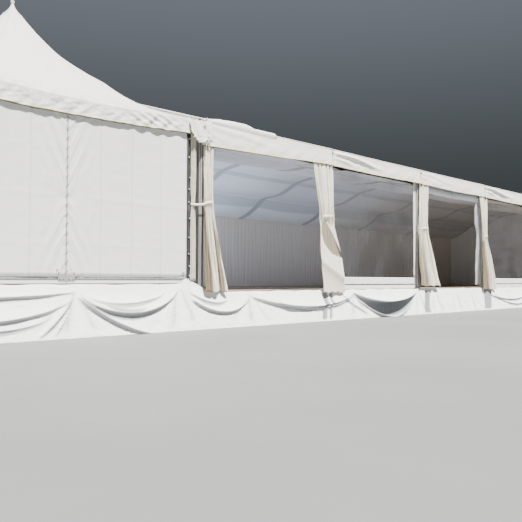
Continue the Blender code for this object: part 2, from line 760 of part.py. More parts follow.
def build_peak_pole():
    """King pole on a hub that four cables carry from the corners of the eave."""
    top = PEAK_EAVE_HEIGHT + PEAK_RISE * peak_top_share() - GAP
    foot = KING_POLE_FOOT_HEIGHT

    def build(bm):
        add_rod(bm, (0.0, 0.0, foot), (0.0, 0.0, top), KING_POLE_RADIUS, 12)

    place("king_pole", mesh_from("king_pole", build), ALUMINIUM, PEAK)
    hub_top = foot - GAP

    def build_hub(bm):
        low = (0.0, 0.0, hub_top - HUB_HEIGHT)
        add_rod(bm, low, (0.0, 0.0, hub_top), HUB_RADIUS, 12)

    cables = place("king_pole_cables", mesh_from("king_pole_cables", build_hub), STEEL, PEAK)
    middle = hub_top - HUB_HEIGHT / 2
    corner = PEAK_FRAME_HALF - PEAK_POST - 3 * GAP - CABLE_RADIUS
    anchor_z = PEAK_EAVE_HEIGHT - PEAK_SHEET * 2 - PEAK_EAVE_SAG - PEAK_BEAM_HEIGHT / 2
    start = HUB_RADIUS / 2

    def build_cables(bm):
        for sx, sy in ((-1, -1), (1, -1), (1, 1), (-1, 1)):
            near = (sx * start, sy * start, middle)
            add_rod(bm, near, (sx * corner, sy * corner, anchor_z), CABLE_RADIUS)

    tool = mesh_from("king_pole_stays", build_cables)
    union(cables, place("king_pole_stays", tool, STEEL, PEAK, CUTTERS))


def build_peak_cap():
    """Turned cap over the ring at the peak."""
    base = PEAK_EAVE_HEIGHT + PEAK_RISE * peak_top_share() + GAP
    ball_z = CAP_HEIGHT - FINIAL_RADIUS
    neck_z = ball_z - math.sqrt(FINIAL_RADIUS**2 - FINIAL_NECK**2)
    profile = [(0.0, CAP_HEIGHT)]
    for degrees in (60, 30, 0, -30):
        angle = math.radians(degrees)
        profile.append((FINIAL_RADIUS * math.cos(angle), ball_z + FINIAL_RADIUS * math.sin(angle)))
    steps = 5
    for i in range(steps + 1):
        share = 1.0 - i / steps
        flare = (PEAK_RING_RADIUS - FINIAL_NECK) * (1.0 - share) ** CAP_POWER
        profile.append((FINIAL_NECK + flare, neck_z * share))
    profile.append((0.0, 0.0))
    mesh = bpy.data.meshes.new("peak_cap")
    points = [(r, 0.0, base + z) for r, z in profile]
    mesh.from_pydata(points, [(i, i + 1) for i in range(len(points) - 1)], [])
    cap = place("peak_cap", mesh, PVC, PEAK)
    turn = cap.modifiers.new("turn", "SCREW")
    turn.steps = 16
    turn.render_steps = 16
    turn.use_merge_vertices = True
    turn.merge_threshold = 0.0001


def build_peak_walls():
    """Laced wall sheets on the three closed sides."""
    half = PEAK_FRAME_HALF
    inner = half + GAP
    outer = half + WALL_THICKNESS
    low = PEAK_FLOOR_HEIGHT + PEAK_WALL_LIFT
    high = PEAK_EAVE_HEIGHT - PEAK_VALANCE_DROP + PEAK_WALL_LAP
    edge = half - PEAK_WALL_SHORT
    box("peak_wall_front_left", (-half, -outer, low), (-GAP / 2, -inner, high), PVC, PEAK)
    box("peak_wall_front_right", (GAP / 2, -outer, low), (edge, -inner, high), PVC, PEAK)
    box("peak_wall_left", (-outer, -edge, low), (-inner, edge, high), PVC, PEAK)
    box("peak_wall_rear", (-half, inner, low), (edge, outer, high), PVC, PEAK)


def build_peak_platform():
    """Floor with a tongue into the hall, and the posts and bearers under it."""
    half = PEAK_FRAME_HALF
    near = half - PEAK_POST - GAP
    tongue = PEAK_HALF + PEAK_GAP + HALL_START - GAP
    notch = near - WALL_THICKNESS
    points = [
        (-near, -half),
        (near, -half),
        (near, -near),
        (half, -near),
        (half, -notch),
        (tongue, -notch),
        (tongue, notch),
        (half, notch),
        (half, near),
        (near, near),
        (near, half),
        (-near, half),
        (-near, near),
        (-half, near),
        (-half, -near),
        (-near, -near),
    ]
    low = PEAK_FLOOR_HEIGHT - FLOOR_THICKNESS
    outline("peak_floor", points, low, PEAK_FLOOR_HEIGHT, "Z", BOARDS, PEAK)
    top = low - GAP
    side = near - POST_SIZE
    rows = (-side, 0.0, side)
    lean = BEARER_WIDTH / 2
    foot = POST_SIZE / 2
    base = top - BEARER_HEIGHT
    middle = top - BEARER_HEIGHT / 2
    stringers = [((-near, y - lean, base), (near, y + lean, top)) for y in rows]
    podium = boxes("peak_podium", stringers, ALUMINIUM, PEAK)
    posts = []
    for x in rows:
        posts += [((x - foot, y - foot, 0.0), (x + foot, y + foot, middle)) for y in rows]
    union(podium, boxes("peak_podium_posts", posts, ALUMINIUM, PEAK, CUTTERS))
    wide = TIE_WIDTH / 2
    tall = TIE_HEIGHT / 2
    ties = [((x - wide, -side, middle - tall), (x + wide, side, middle + tall)) for x in rows]
    union(podium, boxes("peak_podium_ties", ties, ALUMINIUM, PEAK, CUTTERS))


def build_peak_skirts():
    half = PEAK_FRAME_HALF
    out = half + GAP
    heights = (0.0, PEAK_FLOOR_HEIGHT - GAP)
    hall_side = PEAK_HALF + PEAK_GAP + HALL_START - SKIRT_OUT - GAP
    sides = {
        "skirt_peak_front": ((-half, -out, 0.0), (half, -out, 0.0), (0, -1, 0), (1, 0)),
        "skirt_peak_left": ((-out, half, 0.0), (-out, -half, 0.0), (-1, 0, 0), (1, 1)),
        "skirt_peak_rear": ((hall_side, out, 0.0), (-half, out, 0.0), (0, 1, 0), (0, 1)),
    }
    for name, (start, end, side, shifts) in sides.items():
        skirt(name, start, end, side, heights, shifts, PEAK, PEAK_FLARE)


# Rain cover


def build_rain_cover():
    """Sheet that closes the slot between the tents, its front end hanging down as a flap."""
    left = -PEAK_GAP + 2 * GAP
    right = HALL_START - VERGE - GAP
    top = GUTTER_TOP
    front = ROOF_OVERHANG + GAP
    depth = PEAK_SIZE - ROOF_OVERHANG
    gutter = [((left, -front - COVER_THICKNESS / 2, top - COVER_THICKNESS), (right, depth, top))]
    cover = boxes("rain_cover", gutter, PVC, HALL)
    flap_top = EAVE_HEIGHT + COVER_THICKNESS
    flap_back = -front - GAP
    low = (COVER_FLAP_LEFT, flap_back - COVER_THICKNESS, EAVE_HEIGHT - COVER_FLAP_DROP)
    high = (COVER_FLAP_LAP, flap_back, flap_top)
    union(cover, boxes("rain_cover_flap", [(low, high)], PVC, HALL, CUTTERS))
    rise = ROOF_THICKNESS / math.cos(PITCH) + GAP
    start_y = -front - COVER_THICKNESS / 2
    end_y = start_y + STRIP_DEPTH
    ease = (STRIP_DEPTH - STRIP_TOP_DEPTH) / 2

    def surface(y):
        return EAVE_HEIGHT + y * SLOPE + rise

    fold = [
        (start_y, surface(start_y)),
        (end_y, surface(end_y)),
        (end_y - ease, surface(end_y - ease) + STRIP_RISE),
        (start_y + ease, surface(start_y + ease) + STRIP_RISE),
    ]
    start_x = HALL_START + COVER_THICKNESS

    def build(bm):
        add_prism(bm, [(start_x, y, z) for y, z in fold], (STRIP_LENGTH, 0.0, 0.0))

    strip = place("rain_cover_strip", mesh_from("rain_cover_strip", build), PVC, HALL, CUTTERS)
    union(cover, strip)


def build_gap_curtain():
    """Narrow curtain that closes the slot between the two tents, under the rain cover."""
    right = GAP_CURTAIN_LEFT + GAP_CURTAIN_WIDTH
    low = (GAP_CURTAIN_LEFT, -GAP_CURTAIN_OUT, PEAK_FLOOR_HEIGHT + PEAK_RAIL_HEIGHT)
    high = (right, GAP_CURTAIN_THICKNESS - GAP_CURTAIN_OUT, GUTTER_TOP - COVER_THICKNESS - GAP)
    box("gap_curtain", low, high, CURTAIN, HALL)


clear_scene()
PARTS = new_collection("marquee_tent")
CUTTERS = new_collection("joining_tools")
CUTTERS.hide_render = True
ALUMINIUM = new_material("anodised_aluminium", (0.52, 0.53, 0.54), 0.42, 0.9)
STEEL = new_material("galvanised_steel", (0.45, 0.46, 0.47), 0.5, 0.9)
PVC = new_material("white_pvc_cover", (0.86, 0.86, 0.84), 0.45)
CURTAIN = new_material("cream_curtain", (0.82, 0.79, 0.71), 0.75)
LINING = new_material("pale_lining", (0.62, 0.66, 0.73), 0.85)
CLEAR_FOIL = new_material("clear_foil", (0.80, 0.84, 0.88), 0.12, alpha=0.3)
BOARDS = new_material("platform_boards", (0.30, 0.24, 0.18), 0.8)
SKIRT_CLOTH = new_material("skirt_cloth", (0.88, 0.89, 0.91), 0.8)
HALL = new_parent("hall", HALL_ORIGIN)
PEAK = new_parent("high_peak_tent", PEAK_CENTRE)
build_hall_frames()
build_hall_beams()
build_hall_roof()
build_gables()
build_rear_wall()
build_windows()
build_lining()
build_curtains()
build_hall_floor()
build_hall_podium()
build_hall_skirts()
build_peak_roof()
build_peak_frame()
build_peak_pole()
build_peak_cap()
build_peak_walls()
build_peak_platform()
build_peak_skirts()
build_rain_cover()
build_gap_curtain()
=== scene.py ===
"""Looks of a marquee tent: a high-peak tent joined to a long pitched hall on a raised floor.

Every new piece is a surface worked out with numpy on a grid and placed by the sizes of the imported
frame. Metres, +Z up, +X along the front from the high-peak tent to the far gable, +Y inwards.
"""

import logging
import math
from dataclasses import dataclass
from enum import Enum

import bpy
import numpy as np
from mathutils import Matrix, Vector
from numpy import array, clip, cos, exp, linspace, maximum, minimum, sin, where


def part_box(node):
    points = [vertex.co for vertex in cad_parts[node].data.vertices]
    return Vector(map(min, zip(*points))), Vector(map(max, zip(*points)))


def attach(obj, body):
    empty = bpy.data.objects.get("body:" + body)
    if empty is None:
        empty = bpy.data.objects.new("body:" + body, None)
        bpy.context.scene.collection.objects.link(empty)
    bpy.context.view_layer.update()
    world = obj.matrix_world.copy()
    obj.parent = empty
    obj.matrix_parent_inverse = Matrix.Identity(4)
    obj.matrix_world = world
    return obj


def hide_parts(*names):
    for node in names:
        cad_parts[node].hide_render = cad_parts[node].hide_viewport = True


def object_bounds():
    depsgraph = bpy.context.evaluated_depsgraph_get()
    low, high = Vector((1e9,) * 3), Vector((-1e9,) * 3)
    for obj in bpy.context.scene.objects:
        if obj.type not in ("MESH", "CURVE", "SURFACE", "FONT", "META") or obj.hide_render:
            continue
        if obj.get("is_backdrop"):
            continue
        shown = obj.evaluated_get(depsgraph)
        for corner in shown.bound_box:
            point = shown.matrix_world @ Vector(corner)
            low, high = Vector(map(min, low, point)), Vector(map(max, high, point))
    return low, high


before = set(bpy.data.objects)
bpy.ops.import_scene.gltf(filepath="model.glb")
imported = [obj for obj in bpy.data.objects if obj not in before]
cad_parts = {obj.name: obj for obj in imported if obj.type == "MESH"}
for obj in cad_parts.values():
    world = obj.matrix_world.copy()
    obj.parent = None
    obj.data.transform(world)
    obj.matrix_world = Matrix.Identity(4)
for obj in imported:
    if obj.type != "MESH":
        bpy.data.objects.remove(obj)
CAD_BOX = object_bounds()
LOG = logging.getLogger("marquee")
Array = np.ndarray
Value = Array | float
Pair = tuple[float, float]
Levels = tuple[float, ...]
Names = tuple[str, ...]
Triple = tuple[float, float, float]
Socket = bpy.types.NodeSocket
TAU = 2 * math.pi
SHARP_ANGLE = math.radians(40)


def ramp(value: Array, low: float, high: float) -> Array:
    """Smooth step: 0 below low, 1 above high, 3x^2 - 2x^3 between."""
    x = clip((value - low) / (high - low), 0, 1)
    return x * x * (3 - 2 * x)


def bell(value: Array, centre: Value, width: Value) -> Array:
    """Bell curve: e to the power of minus the squared distance in widths."""
    return exp(-(((value - centre) / width) ** 2))


def mesh_grid(rows: int, columns: int) -> tuple[Array, Array]:
    """Two parameters from 0 to 1 on a grid: the one along the columns, then the one along the rows."""
    return np.meshgrid(linspace(0, 1, columns), linspace(0, 1, rows))


def stack(*parts: Value) -> Array:
    """Joins coordinate arrays into points."""
    return np.stack(np.broadcast_arrays(*parts), axis=-1)


def smoothed(values: Array, width: int) -> Array:
    """Running mean over an odd number of values, mirrored through the first and the last one."""
    padded = np.pad(values, width // 2, mode="reflect", reflect_type="odd")
    return np.convolve(padded, np.ones(width) / width, mode="valid")


def rings(x: Value, y: Value, z: Value, radius: float, steps: int = 9) -> Array:
    """Upright rings about centres: x + radius * cos a and z + radius * sin a, a from 0 to 2 pi."""
    turn = linspace(0, TAU, steps)
    x, y, z = (np.atleast_1d(part)[:, None] for part in (x, y, z))
    return stack(x + radius * cos(turn), y, z + radius * sin(turn))


@dataclass(frozen=True)
class Crumple:
    """Soft irregular height: a mean of sine waves in seeded directions and lengths.

    Height = sum of weight * sin(kx * x + ky * y + phase), where each weight grows with the
    wave's length, so that long waves lead.
    """

    seed: int
    length: float
    stretch: float = 1.0
    waves: int = 12

    def __call__(self, x: Array, y: Array) -> Array:
        """Height from -1 to 1 at coordinates in metres, the waves being stretched along the first."""
        draw = np.random.default_rng(self.seed)
        angle = draw.uniform(0, TAU, self.waves)
        wave = self.length * draw.uniform(0.3, 1, self.waves)
        phase = draw.uniform(0, TAU, self.waves)
        kx = TAU / (wave * self.stretch) * cos(angle)
        ky = TAU / wave * sin(angle)
        height = sin(x[..., None] * kx + y[..., None] * ky + phase) * wave
        return height.sum(axis=-1) / wave.sum() * 2


def normals_of(points: Array) -> Array:
    """Unit normals of a grid: the step along the columns crossed with the step along the rows."""
    across = np.gradient(points, axis=-2)
    along = np.gradient(points, axis=-3)
    normal = np.cross(across, along)
    return normal / maximum(np.linalg.norm(normal, axis=-1, keepdims=True), 1e-9)


def pushed(points: Array, height: Array) -> Array:
    """A grid's points moved by a height along its own normals."""
    return points + normals_of(points) * height[..., None]


def cloth_uv(points: Array) -> Array:
    """Flat cloth coordinates in metres: the mean length walked along the columns and the rows."""
    across = np.linalg.norm(np.diff(points, axis=1), axis=-1).mean(axis=0)
    along = np.linalg.norm(np.diff(points, axis=0), axis=-1).mean(axis=1)
    u = np.concatenate([[0], np.cumsum(across)])
    v = np.concatenate([[0], np.cumsum(along)])
    return np.stack(np.meshgrid(u, v), axis=-1)


def tube_grid(paths: Array, radius: Value, sides: int = 8) -> Array:
    """Round tubes along many paths: point = path + radius * (cos a * side + sin a * up).

    Args:
        paths: Points of shape (tubes, steps, 3).
        radius: One radius, or one for each step.
        sides: Faces round the tube.

    Returns:
        Grids of shape (tubes, steps + 2, sides + 1, 3), closed to a point at both ends.
    """
    tangent = np.gradient(paths, axis=1)
    tangent /= maximum(np.linalg.norm(tangent, axis=-1, keepdims=True), 1e-9)
    mean = np.abs(paths[:, -1] - paths[:, 0])
    upright = (mean[:, 2] > 0.9 * np.linalg.norm(mean, axis=-1))[:, None]
    reference = where(upright, [1, 0, 0], [0, 0, 1])[:, None, :]
    side = np.cross(tangent, reference)
    side /= maximum(np.linalg.norm(side, axis=-1, keepdims=True), 1e-9)
    up = np.cross(tangent, side)
    angle = linspace(0, TAU, sides + 1)[:, None]
    reach = np.broadcast_to(radius, paths.shape[:2])[..., None, None]
    ring = cos(angle) * side[:, :, None] + sin(angle) * up[:, :, None]
    body = paths[:, :, None] + reach * ring
    first = np.repeat(paths[:, :1, None], sides + 1, axis=2)
    last = np.repeat(paths[:, -1:, None], sides + 1, axis=2)
    return np.concatenate([first, body, last], axis=1)


class Piece:
    """Collects grids for one named piece and makes its mesh."""

    def __init__(self, name: str) -> None:
        """Starts an empty piece."""
        self.name = name
        self.points: list[Array] = []
        self.faces: list[Array] = []
        self.uvs: list[Array] = []
        self.marks: list[dict[str, Array]] = []
        self.count = 0

    def grid(self, points: Array, uv: Array | None = None, flip: bool = False, **marks: Array) -> "Piece":
        """Adds one grid of points, facing along its columns' step crossed with its rows' step.

        Args:
            points: Array of shape (rows, columns, 3).
            uv: Cloth coordinates in metres, or None to measure them.
            flip: Whether the columns are turned round, so that the grid faces the other way.
            marks: Values for each point that the material reads by name.

        Returns:
            The piece itself.
        """
        rows, columns = points.shape[:2]
        order = slice(None, None, -1 if flip else 1)
        points = points[:, order]
        index = self.count + np.arange(rows * columns).reshape(rows, columns)
        corners = (index[:-1, :-1], index[:-1, 1:], index[1:, 1:], index[1:, :-1])
        self.faces.append(np.stack(corners, axis=-1).reshape(-1, 4))
        self.points.append(points.reshape(-1, 3))
        self.uvs.append((cloth_uv(points) if uv is None else uv[:, order]).reshape(-1, 2))
        shape = (rows, columns)
        self.marks.append({k: np.broadcast_to(v, shape)[:, order].ravel() for k, v in marks.items()})
        self.count += rows * columns
        return self

    def tubes(self, paths: Array, radius: Value, sides: int = 8) -> "Piece":
        """Adds round closed tubes along paths of shape (tubes, steps, 3)."""
        for tube in tube_grid(np.asarray(paths, float), radius, sides):
            self.grid(tube)
        return self

    def blocks(self, lows: Array, highs: Array) -> "Piece":
        """Adds closed boxes between lowest and highest corners of shape (boxes, 3)."""
        lows, highs = np.atleast_2d(lows), np.atleast_2d(highs)
        pick = array([[i & 1, i >> 1 & 1, i >> 2 & 1] for i in range(8)])
        corners = where(pick[None] == 1, highs[:, None], lows[:, None])
        sides = array([[0, 2, 3, 1], [4, 5, 7, 6], [0, 1, 5, 4], [2, 6, 7, 3], [0, 4, 6, 2], [1, 3, 7, 5]])
        step = self.count + 8 * np.arange(len(lows))[:, None, None]
        self.faces.append((sides[None] + step).reshape(-1, 4))
        self.points.append(corners.reshape(-1, 3))
        self.uvs.append(corners.reshape(-1, 3)[:, [0, 2]])
        self.marks.append({})
        self.count += 8 * len(lows)
        return self

    def make(
        self, finish: str, replaces: Names = (), thickness: float = 0.0, bevel: float = 0.0, slot: str = ""
    ) -> bpy.types.Object:
        """Makes the mesh object, which rides on the part's one body.

        Args:
            finish: Name of the finish.
            replaces: CAD nodes that the piece stands for.
            thickness: Thickness that Solidify adds behind the faces.
            bevel: Width of a bevel on the edges.
            slot: The record's material slot, where it isn't the finish's own; it is not used.

        Returns:
            The new object.
        """
        points = np.concatenate(self.points).astype(np.float32)
        faces = np.concatenate(self.faces).astype(np.int32)
        mesh = bpy.data.meshes.new(self.name)
        mesh.vertices.add(len(points))
        mesh.vertices.foreach_set("co", points.ravel())
        mesh.loops.add(faces.size)
        mesh.loops.foreach_set("vertex_index", faces.ravel())
        mesh.polygons.add(len(faces))
        mesh.polygons.foreach_set("loop_start", np.arange(0, faces.size, 4, dtype=np.int32))
        mesh.polygons.foreach_set("loop_total", np.full(len(faces), 4, np.int32))
        mesh.update(calc_edges=True)
        uv = np.concatenate(self.uvs).astype(np.float32)[faces.ravel()]
        mesh.uv_layers.new(name="UVMap").data.foreach_set("uv", uv.ravel())
        for key in sorted({k for marks in self.marks for k in marks}):
            parts = [marks.get(key, np.zeros(len(p))) for marks, p in zip(self.marks, self.points)]
            values = np.concatenate(parts).astype(np.float32)
            mesh.attributes.new(key, "FLOAT", "POINT").data.foreach_set("value", values)
        mesh.shade_smooth()
        mesh.materials.append(FINISHES[finish])
        obj = bpy.data.objects.new(self.name, mesh)
        bpy.context.scene.collection.objects.link(obj)
        if thickness:
            solidify = obj.modifiers.new("thickness", "SOLIDIFY")
            solidify.thickness, solidify.offset = thickness, -1
        if bevel:
            mesh.set_sharp_from_angle(angle=SHARP_ANGLE)
            edge = obj.modifiers.new("edges", "BEVEL")
            edge.width, edge.segments = bevel, 2
        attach(obj, "root")
        slot or SLOTS[finish]
        if replaces:
            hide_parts(*replaces)
        LOG.info("%s: %d faces", self.name, len(faces))
        return obj


class Wiring:
    """Short hand for placing and joining shader nodes in one tree."""

    def __init__(self, tree: bpy.types.NodeTree) -> None:
        """Works on one tree."""
        self.tree = tree

    def node(self, kind: str, settings: dict | None = None, **inputs: object) -> bpy.types.Node:
        """Adds a node with its properties, and values or sockets for its inputs, _ for a space."""
        made = self.tree.nodes.new(kind)
        for key, value in (settings or {}).items():
            setattr(made, key, value)
        for key, value in inputs.items():
            self.join(value, made.inputs[key.replace("_", " ")])
        return made

    def join(self, value: object, socket: Socket) -> None:
        """Links an output to an input, or sets the input's own value."""
        if isinstance(value, Socket):
            self.tree.links.new(value, socket)
        else:
            socket.default_value = value

    def math(self, operation: str, *values: object) -> Socket:
        """Adds a Math node and gives its output."""
        made = self.node("ShaderNodeMath", {"operation": operation})
        for value, socket in zip(values, made.inputs):
            self.join(value, socket)
        return made.outputs[0]

    def ramp(
        self, value: object, low: float, high: float, to_low: float = 0.0, to_high: float = 1.0
    ) -> Socket:
        """Maps a value from one range to another, smoothly and clamped."""
        made = self.node("ShaderNodeMapRange", {"interpolation_type": "SMOOTHSTEP"})
        for entry, socket in zip((value, low, high, to_low, to_high), made.inputs):
            self.join(entry, socket)
        return made.outputs[0]

    def mix(self, factor: object, first: object, second: object) -> Socket:
        """Mixes two colours, given as sockets or as red, green and blue."""
        made = self.node("ShaderNodeMix", {"data_type": "RGBA"})
        for value, index in ((factor, 0), (first, 6), (second, 7)):
            self.join((*value, 1) if isinstance(value, tuple) else value, made.inputs[index])
        return made.outputs[2]

    def noise(self, vector: object, scale: object, detail: float = 4.0, rough: float = 0.55) -> Socket:
        """Adds a noise texture and gives its value."""
        made = self.node("ShaderNodeTexNoise", Vector=vector, Scale=scale, Detail=detail, Roughness=rough)
        return made.outputs[0]

    def place(self, kind: str = "Object") -> Socket:
        """Texture coordinates of a kind."""
        return self.node("ShaderNodeTexCoord").outputs[kind]

    def scaled(self, vector: object, scale: Triple) -> Socket:
        """A vector scaled along each axis."""
        return self.node("ShaderNodeMapping", Vector=vector, Scale=scale).outputs[0]

    def part(self, vector: object, axis: int) -> Socket:
        """One coordinate of a vector."""
        return self.node("ShaderNodeSeparateXYZ", Vector=vector).outputs[axis]

    def mark(self, name: str) -> Socket:
        """Value of a named mark of the mesh."""
        return self.node("ShaderNodeAttribute", {"attribute_name": name}).outputs["Fac"]

    def group(self, tree: bpy.types.NodeTree, **inputs: object) -> Socket:
        """Places a shared group and gives its first output."""
        return self.node("ShaderNodeGroup", {"node_tree": tree}, **inputs).outputs[0]

    def finish(self, height: object = None, **inputs: object) -> None:
        """Sets the surface shader's inputs, by name with _ for a space, and a bump of a height."""
        shader = self.tree.nodes["Principled BSDF"]
        for key, value in inputs.items():
            self.join(value, shader.inputs[key.replace("_", " ")])
        if height is not None:
            bump = self.node("ShaderNodeBump", Height=height, Distance=1)
            self.join(bump.outputs[0], shader.inputs["Normal"])


def new_group(name: str, inputs: dict[str, float | None], output: str) -> tuple[Wiring, dict, Socket]:
    """Starts a shared group.

    Args:
        name: The group's name.
        inputs: Defaults by input name, None for a vector.
        output: Name of the one output, a value.

    Returns:
        The wiring of its tree, its input sockets by name and its output socket.
    """
    tree = bpy.data.node_groups.new(name, "ShaderNodeTree")
    for key, value in inputs.items():
        kind = "NodeSocketVector" if value is None else "NodeSocketFloat"
        socket = tree.interface.new_socket(key, in_out="INPUT", socket_type=kind)
        if value is not None:
            socket.default_value = value
    tree.interface.new_socket(output, in_out="OUTPUT", socket_type="NodeSocketFloat")
    source = tree.nodes.new("NodeGroupInput")
    end = tree.nodes.new("NodeGroupOutput")
    return Wiring(tree), {s.name: s for s in source.outputs}, end.inputs[0]


def weave_group() -> bpy.types.NodeTree:
    """Height of a plain weave: the larger of two crossed sine waves, Count threads a metre."""
    wire, given, out = new_group("plain_weave", {"Vector": None, "Count": 400}, "Height")
    waves = []
    for axis in (0, 1):
        turns = wire.math("MULTIPLY", wire.part(given["Vector"], axis), given["Count"])
        waves.append(wire.math("SINE", wire.math("MULTIPLY", turns, TAU)))
    wire.join(wire.math("MAXIMUM", *waves), out)
    return wire.tree


def soil_group() -> bpy.types.NodeTree:
    """Mask of grime: broad clouds times finer specks, more of it with a higher Amount."""
    wire, given, out = new_group("soil", {"Vector": None, "Scale": 1, "Amount": 0.5}, "Mask")
    broad = wire.noise(given["Vector"], given["Scale"], 5, 0.5)
    fine_scale = wire.math("MULTIPLY", given["Scale"], 9)
    fine = wire.noise(given["Vector"], fine_scale, 6, 0.5)
    both = wire.math("MULTIPLY", wire.ramp(broad, 0.42, 0.75), wire.ramp(fine, 0.35, 0.7))
    wire.join(wire.math("MULTIPLY", both, given["Amount"]), out)
    return wire.tree


def streak_group() -> bpy.types.NodeTree:
    """Mask of rain streaks: noise that is stretched along Z."""
    wire, given, out = new_group("streaks", {"Vector": None, "Scale": 6, "Amount": 0.3}, "Mask")
    thin = wire.scaled(given["Vector"], (1, 1, 0.05))
    noise = wire.noise(thin, given["Scale"], 5, 0.5)
    wire.join(wire.math("MULTIPLY", wire.ramp(noise, 0.5, 0.75), given["Amount"]), out)
    return wire.tree


def crease_group() -> bpy.types.NodeTree:
    """Height of small soft creases: ridges where a bent noise crosses its middle."""
    wire, given, out = new_group("creases", {"Vector": None, "Scale": 3}, "Height")
    vector, scale = given["Vector"], given["Scale"]
    noise = wire.node("ShaderNodeTexNoise", Vector=vector, Scale=scale, Detail=2, Distortion=1.4)
    away = wire.math("ABSOLUTE", wire.math("SUBTRACT", noise.outputs[0], 0.5))
    wire.join(wire.ramp(away, 0, 0.12, 1, 0), out)
    return wire.tree


def weld_group() -> bpy.types.NodeTree:
    """Mask of double lines where cloth widths are welded.

    The distance to the nearest multiple of Spacing is compared with half the Lap, and the mask is
    1 within a few millimetres of it.
    """
    wire, given, out = new_group("weld_lines", {"Across": 0, "Spacing": 1, "Lap": 0.04}, "Mask")
    half = wire.math("MULTIPLY", given["Spacing"], 0.5)
    nearest = wire.math("PINGPONG", given["Across"], half)
    edge = wire.math("ABSOLUTE", wire.math("SUBTRACT", nearest, wire.math("MULTIPLY", given["Lap"], 0.5)))
    wire.join(wire.ramp(edge, 0.002, 0.007, 1, 0), out)
    return wire.tree


WEAVE, SOIL, STREAKS = weave_group(), soil_group(), streak_group()
CREASES, WELDS = crease_group(), weld_group()


def new_material(name: str) -> tuple[bpy.types.Material, Wiring]:
    """Starts a material and gives it and its wiring."""
    material = bpy.data.materials.new(name)
    material.use_nodes = True
    return material, Wiring(material.node_tree)


@dataclass(frozen=True)
class CoverFinish:
    """Coated tent cover or cloth: soil, rain streaks, weld lines, hems, creases and weave.

    The mesh's own marks are read by name: soil, hem, piping and shade. The shade mark is painted shade, and
    the soil mark on the rain cover's flap and the hem mark on the linings carry painted shade as well.
    """

    name: str
    color: Triple
    soil_color: Triple = (0.42, 0.40, 0.33)
    hem_color: Triple = (0.86, 0.82, 0.66)
    piping_color: Triple = (0.16, 0.15, 0.07)
    shade_color: Triple = (0.36, 0.40, 0.47)
    roughness: float = 0.5
    sheen: float = 0.0
    soil: float = 0.22
    streaks: float = 0.0
    weld_spacing: float = 0.0
    weld_lap: float = 0.045
    weld_tint: float = 0.20
    cross_spacing: float = 0.0
    cross_lap: float = 0.08
    crease_scale: float = 2.2
    crease_depth: float = 0.0015
    weave_count: float = 450.0
    weave_depth: float = 0.0002
    alpha: float = 1.0

    def build(self) -> bpy.types.Material:
        """Makes the material and gives it."""
        material, wire = new_material(self.name)
        here, cloth = wire.place(), wire.place("UV")
        grime = wire.group(SOIL, Vector=here, Scale=0.9, Amount=self.soil)
        rain = wire.group(STREAKS, Vector=here, Scale=5, Amount=self.streaks)
        marked = wire.math("MULTIPLY", wire.mark("soil"), wire.ramp(wire.noise(here, 14), 0.35, 0.7))
        dirt = wire.math("MAXIMUM", wire.math("MAXIMUM", grime, rain), marked)
        fleck = wire.ramp(wire.noise(here, 1.3), 0.3, 0.7, 0.93, 1)
        color = wire.mix(fleck, tuple(0.9 * c for c in self.color), self.color)
        color = wire.mix(dirt, color, self.soil_color)
        color = wire.mix(wire.mark("hem"), color, self.hem_color)
        # painted shade: the shade mark mixes in shade_color
        color = wire.mix(wire.mark("shade"), color, self.shade_color)
        color = wire.mix(wire.mark("piping"), color, self.piping_color)
        creases = wire.group(CREASES, Vector=here, Scale=self.crease_scale)
        threads = wire.group(WEAVE, Vector=cloth, Count=self.weave_count)
        height = wire.math("MULTIPLY", creases, self.crease_depth)
        height = wire.math("ADD", height, wire.math("MULTIPLY", threads, self.weave_depth))
        if self.weld_spacing:
            weld = wire.group(
                WELDS, Across=wire.part(cloth, 0), Spacing=self.weld_spacing, Lap=self.weld_lap
            )
            if self.cross_spacing:
                cross = wire.group(
                    WELDS, Across=wire.part(cloth, 1), Spacing=self.cross_spacing, Lap=self.cross_lap
                )
                weld = wire.math("MAXIMUM", weld, cross)
            color = wire.mix(wire.math("MULTIPLY", weld, self.weld_tint), color, self.soil_color)
            height = wire.math("SUBTRACT", height, wire.math("MULTIPLY", weld, 0.001))
        wire.finish(
            height, Base_Color=color, Sheen_Weight=self.sheen, Sheen_Roughness=0.5, Alpha=self.alpha,
            Roughness=wire.ramp(dirt, 0, 1, self.roughness, min(1, self.roughness + 0.3)),
        )
        return material


@dataclass(frozen=True)
class FoilFinish:
    """Clear flexible window foil: haze clouds, fold glints and a thin grey tint."""

    name: str
    color: Triple = (0.72, 0.77, 0.82)
    haze: Pair = (0.10, 0.34)
    roughness: float = 0.09

    def build(self) -> bpy.types.Material:
        """Makes the material and gives it."""
        material, wire = new_material(self.name)
        here = wire.place()
        cloud = wire.ramp(wire.noise(here, 1.4, 6), 0.35, 0.75)
        # painted highlight: the shade mark carries glints, so the foil is paler and less clear along its
        # folds
        painted_glint = wire.mark("shade")
        wire.finish(
            wire.math("MULTIPLY", wire.group(CREASES, Vector=here, Scale=2.6), 0.002),
            Base_Color=wire.mix(painted_glint, self.color, (0.82, 0.85, 0.88)),
            Alpha=wire.math("MAXIMUM", wire.ramp(cloud, 0, 1, *self.haze), painted_glint),
            Roughness=wire.ramp(wire.noise(here, 7), 0.3, 0.8, self.roughness, self.roughness * 3),
            IOR=1.5, Specular_IOR_Level=0.7,
        )
        return material


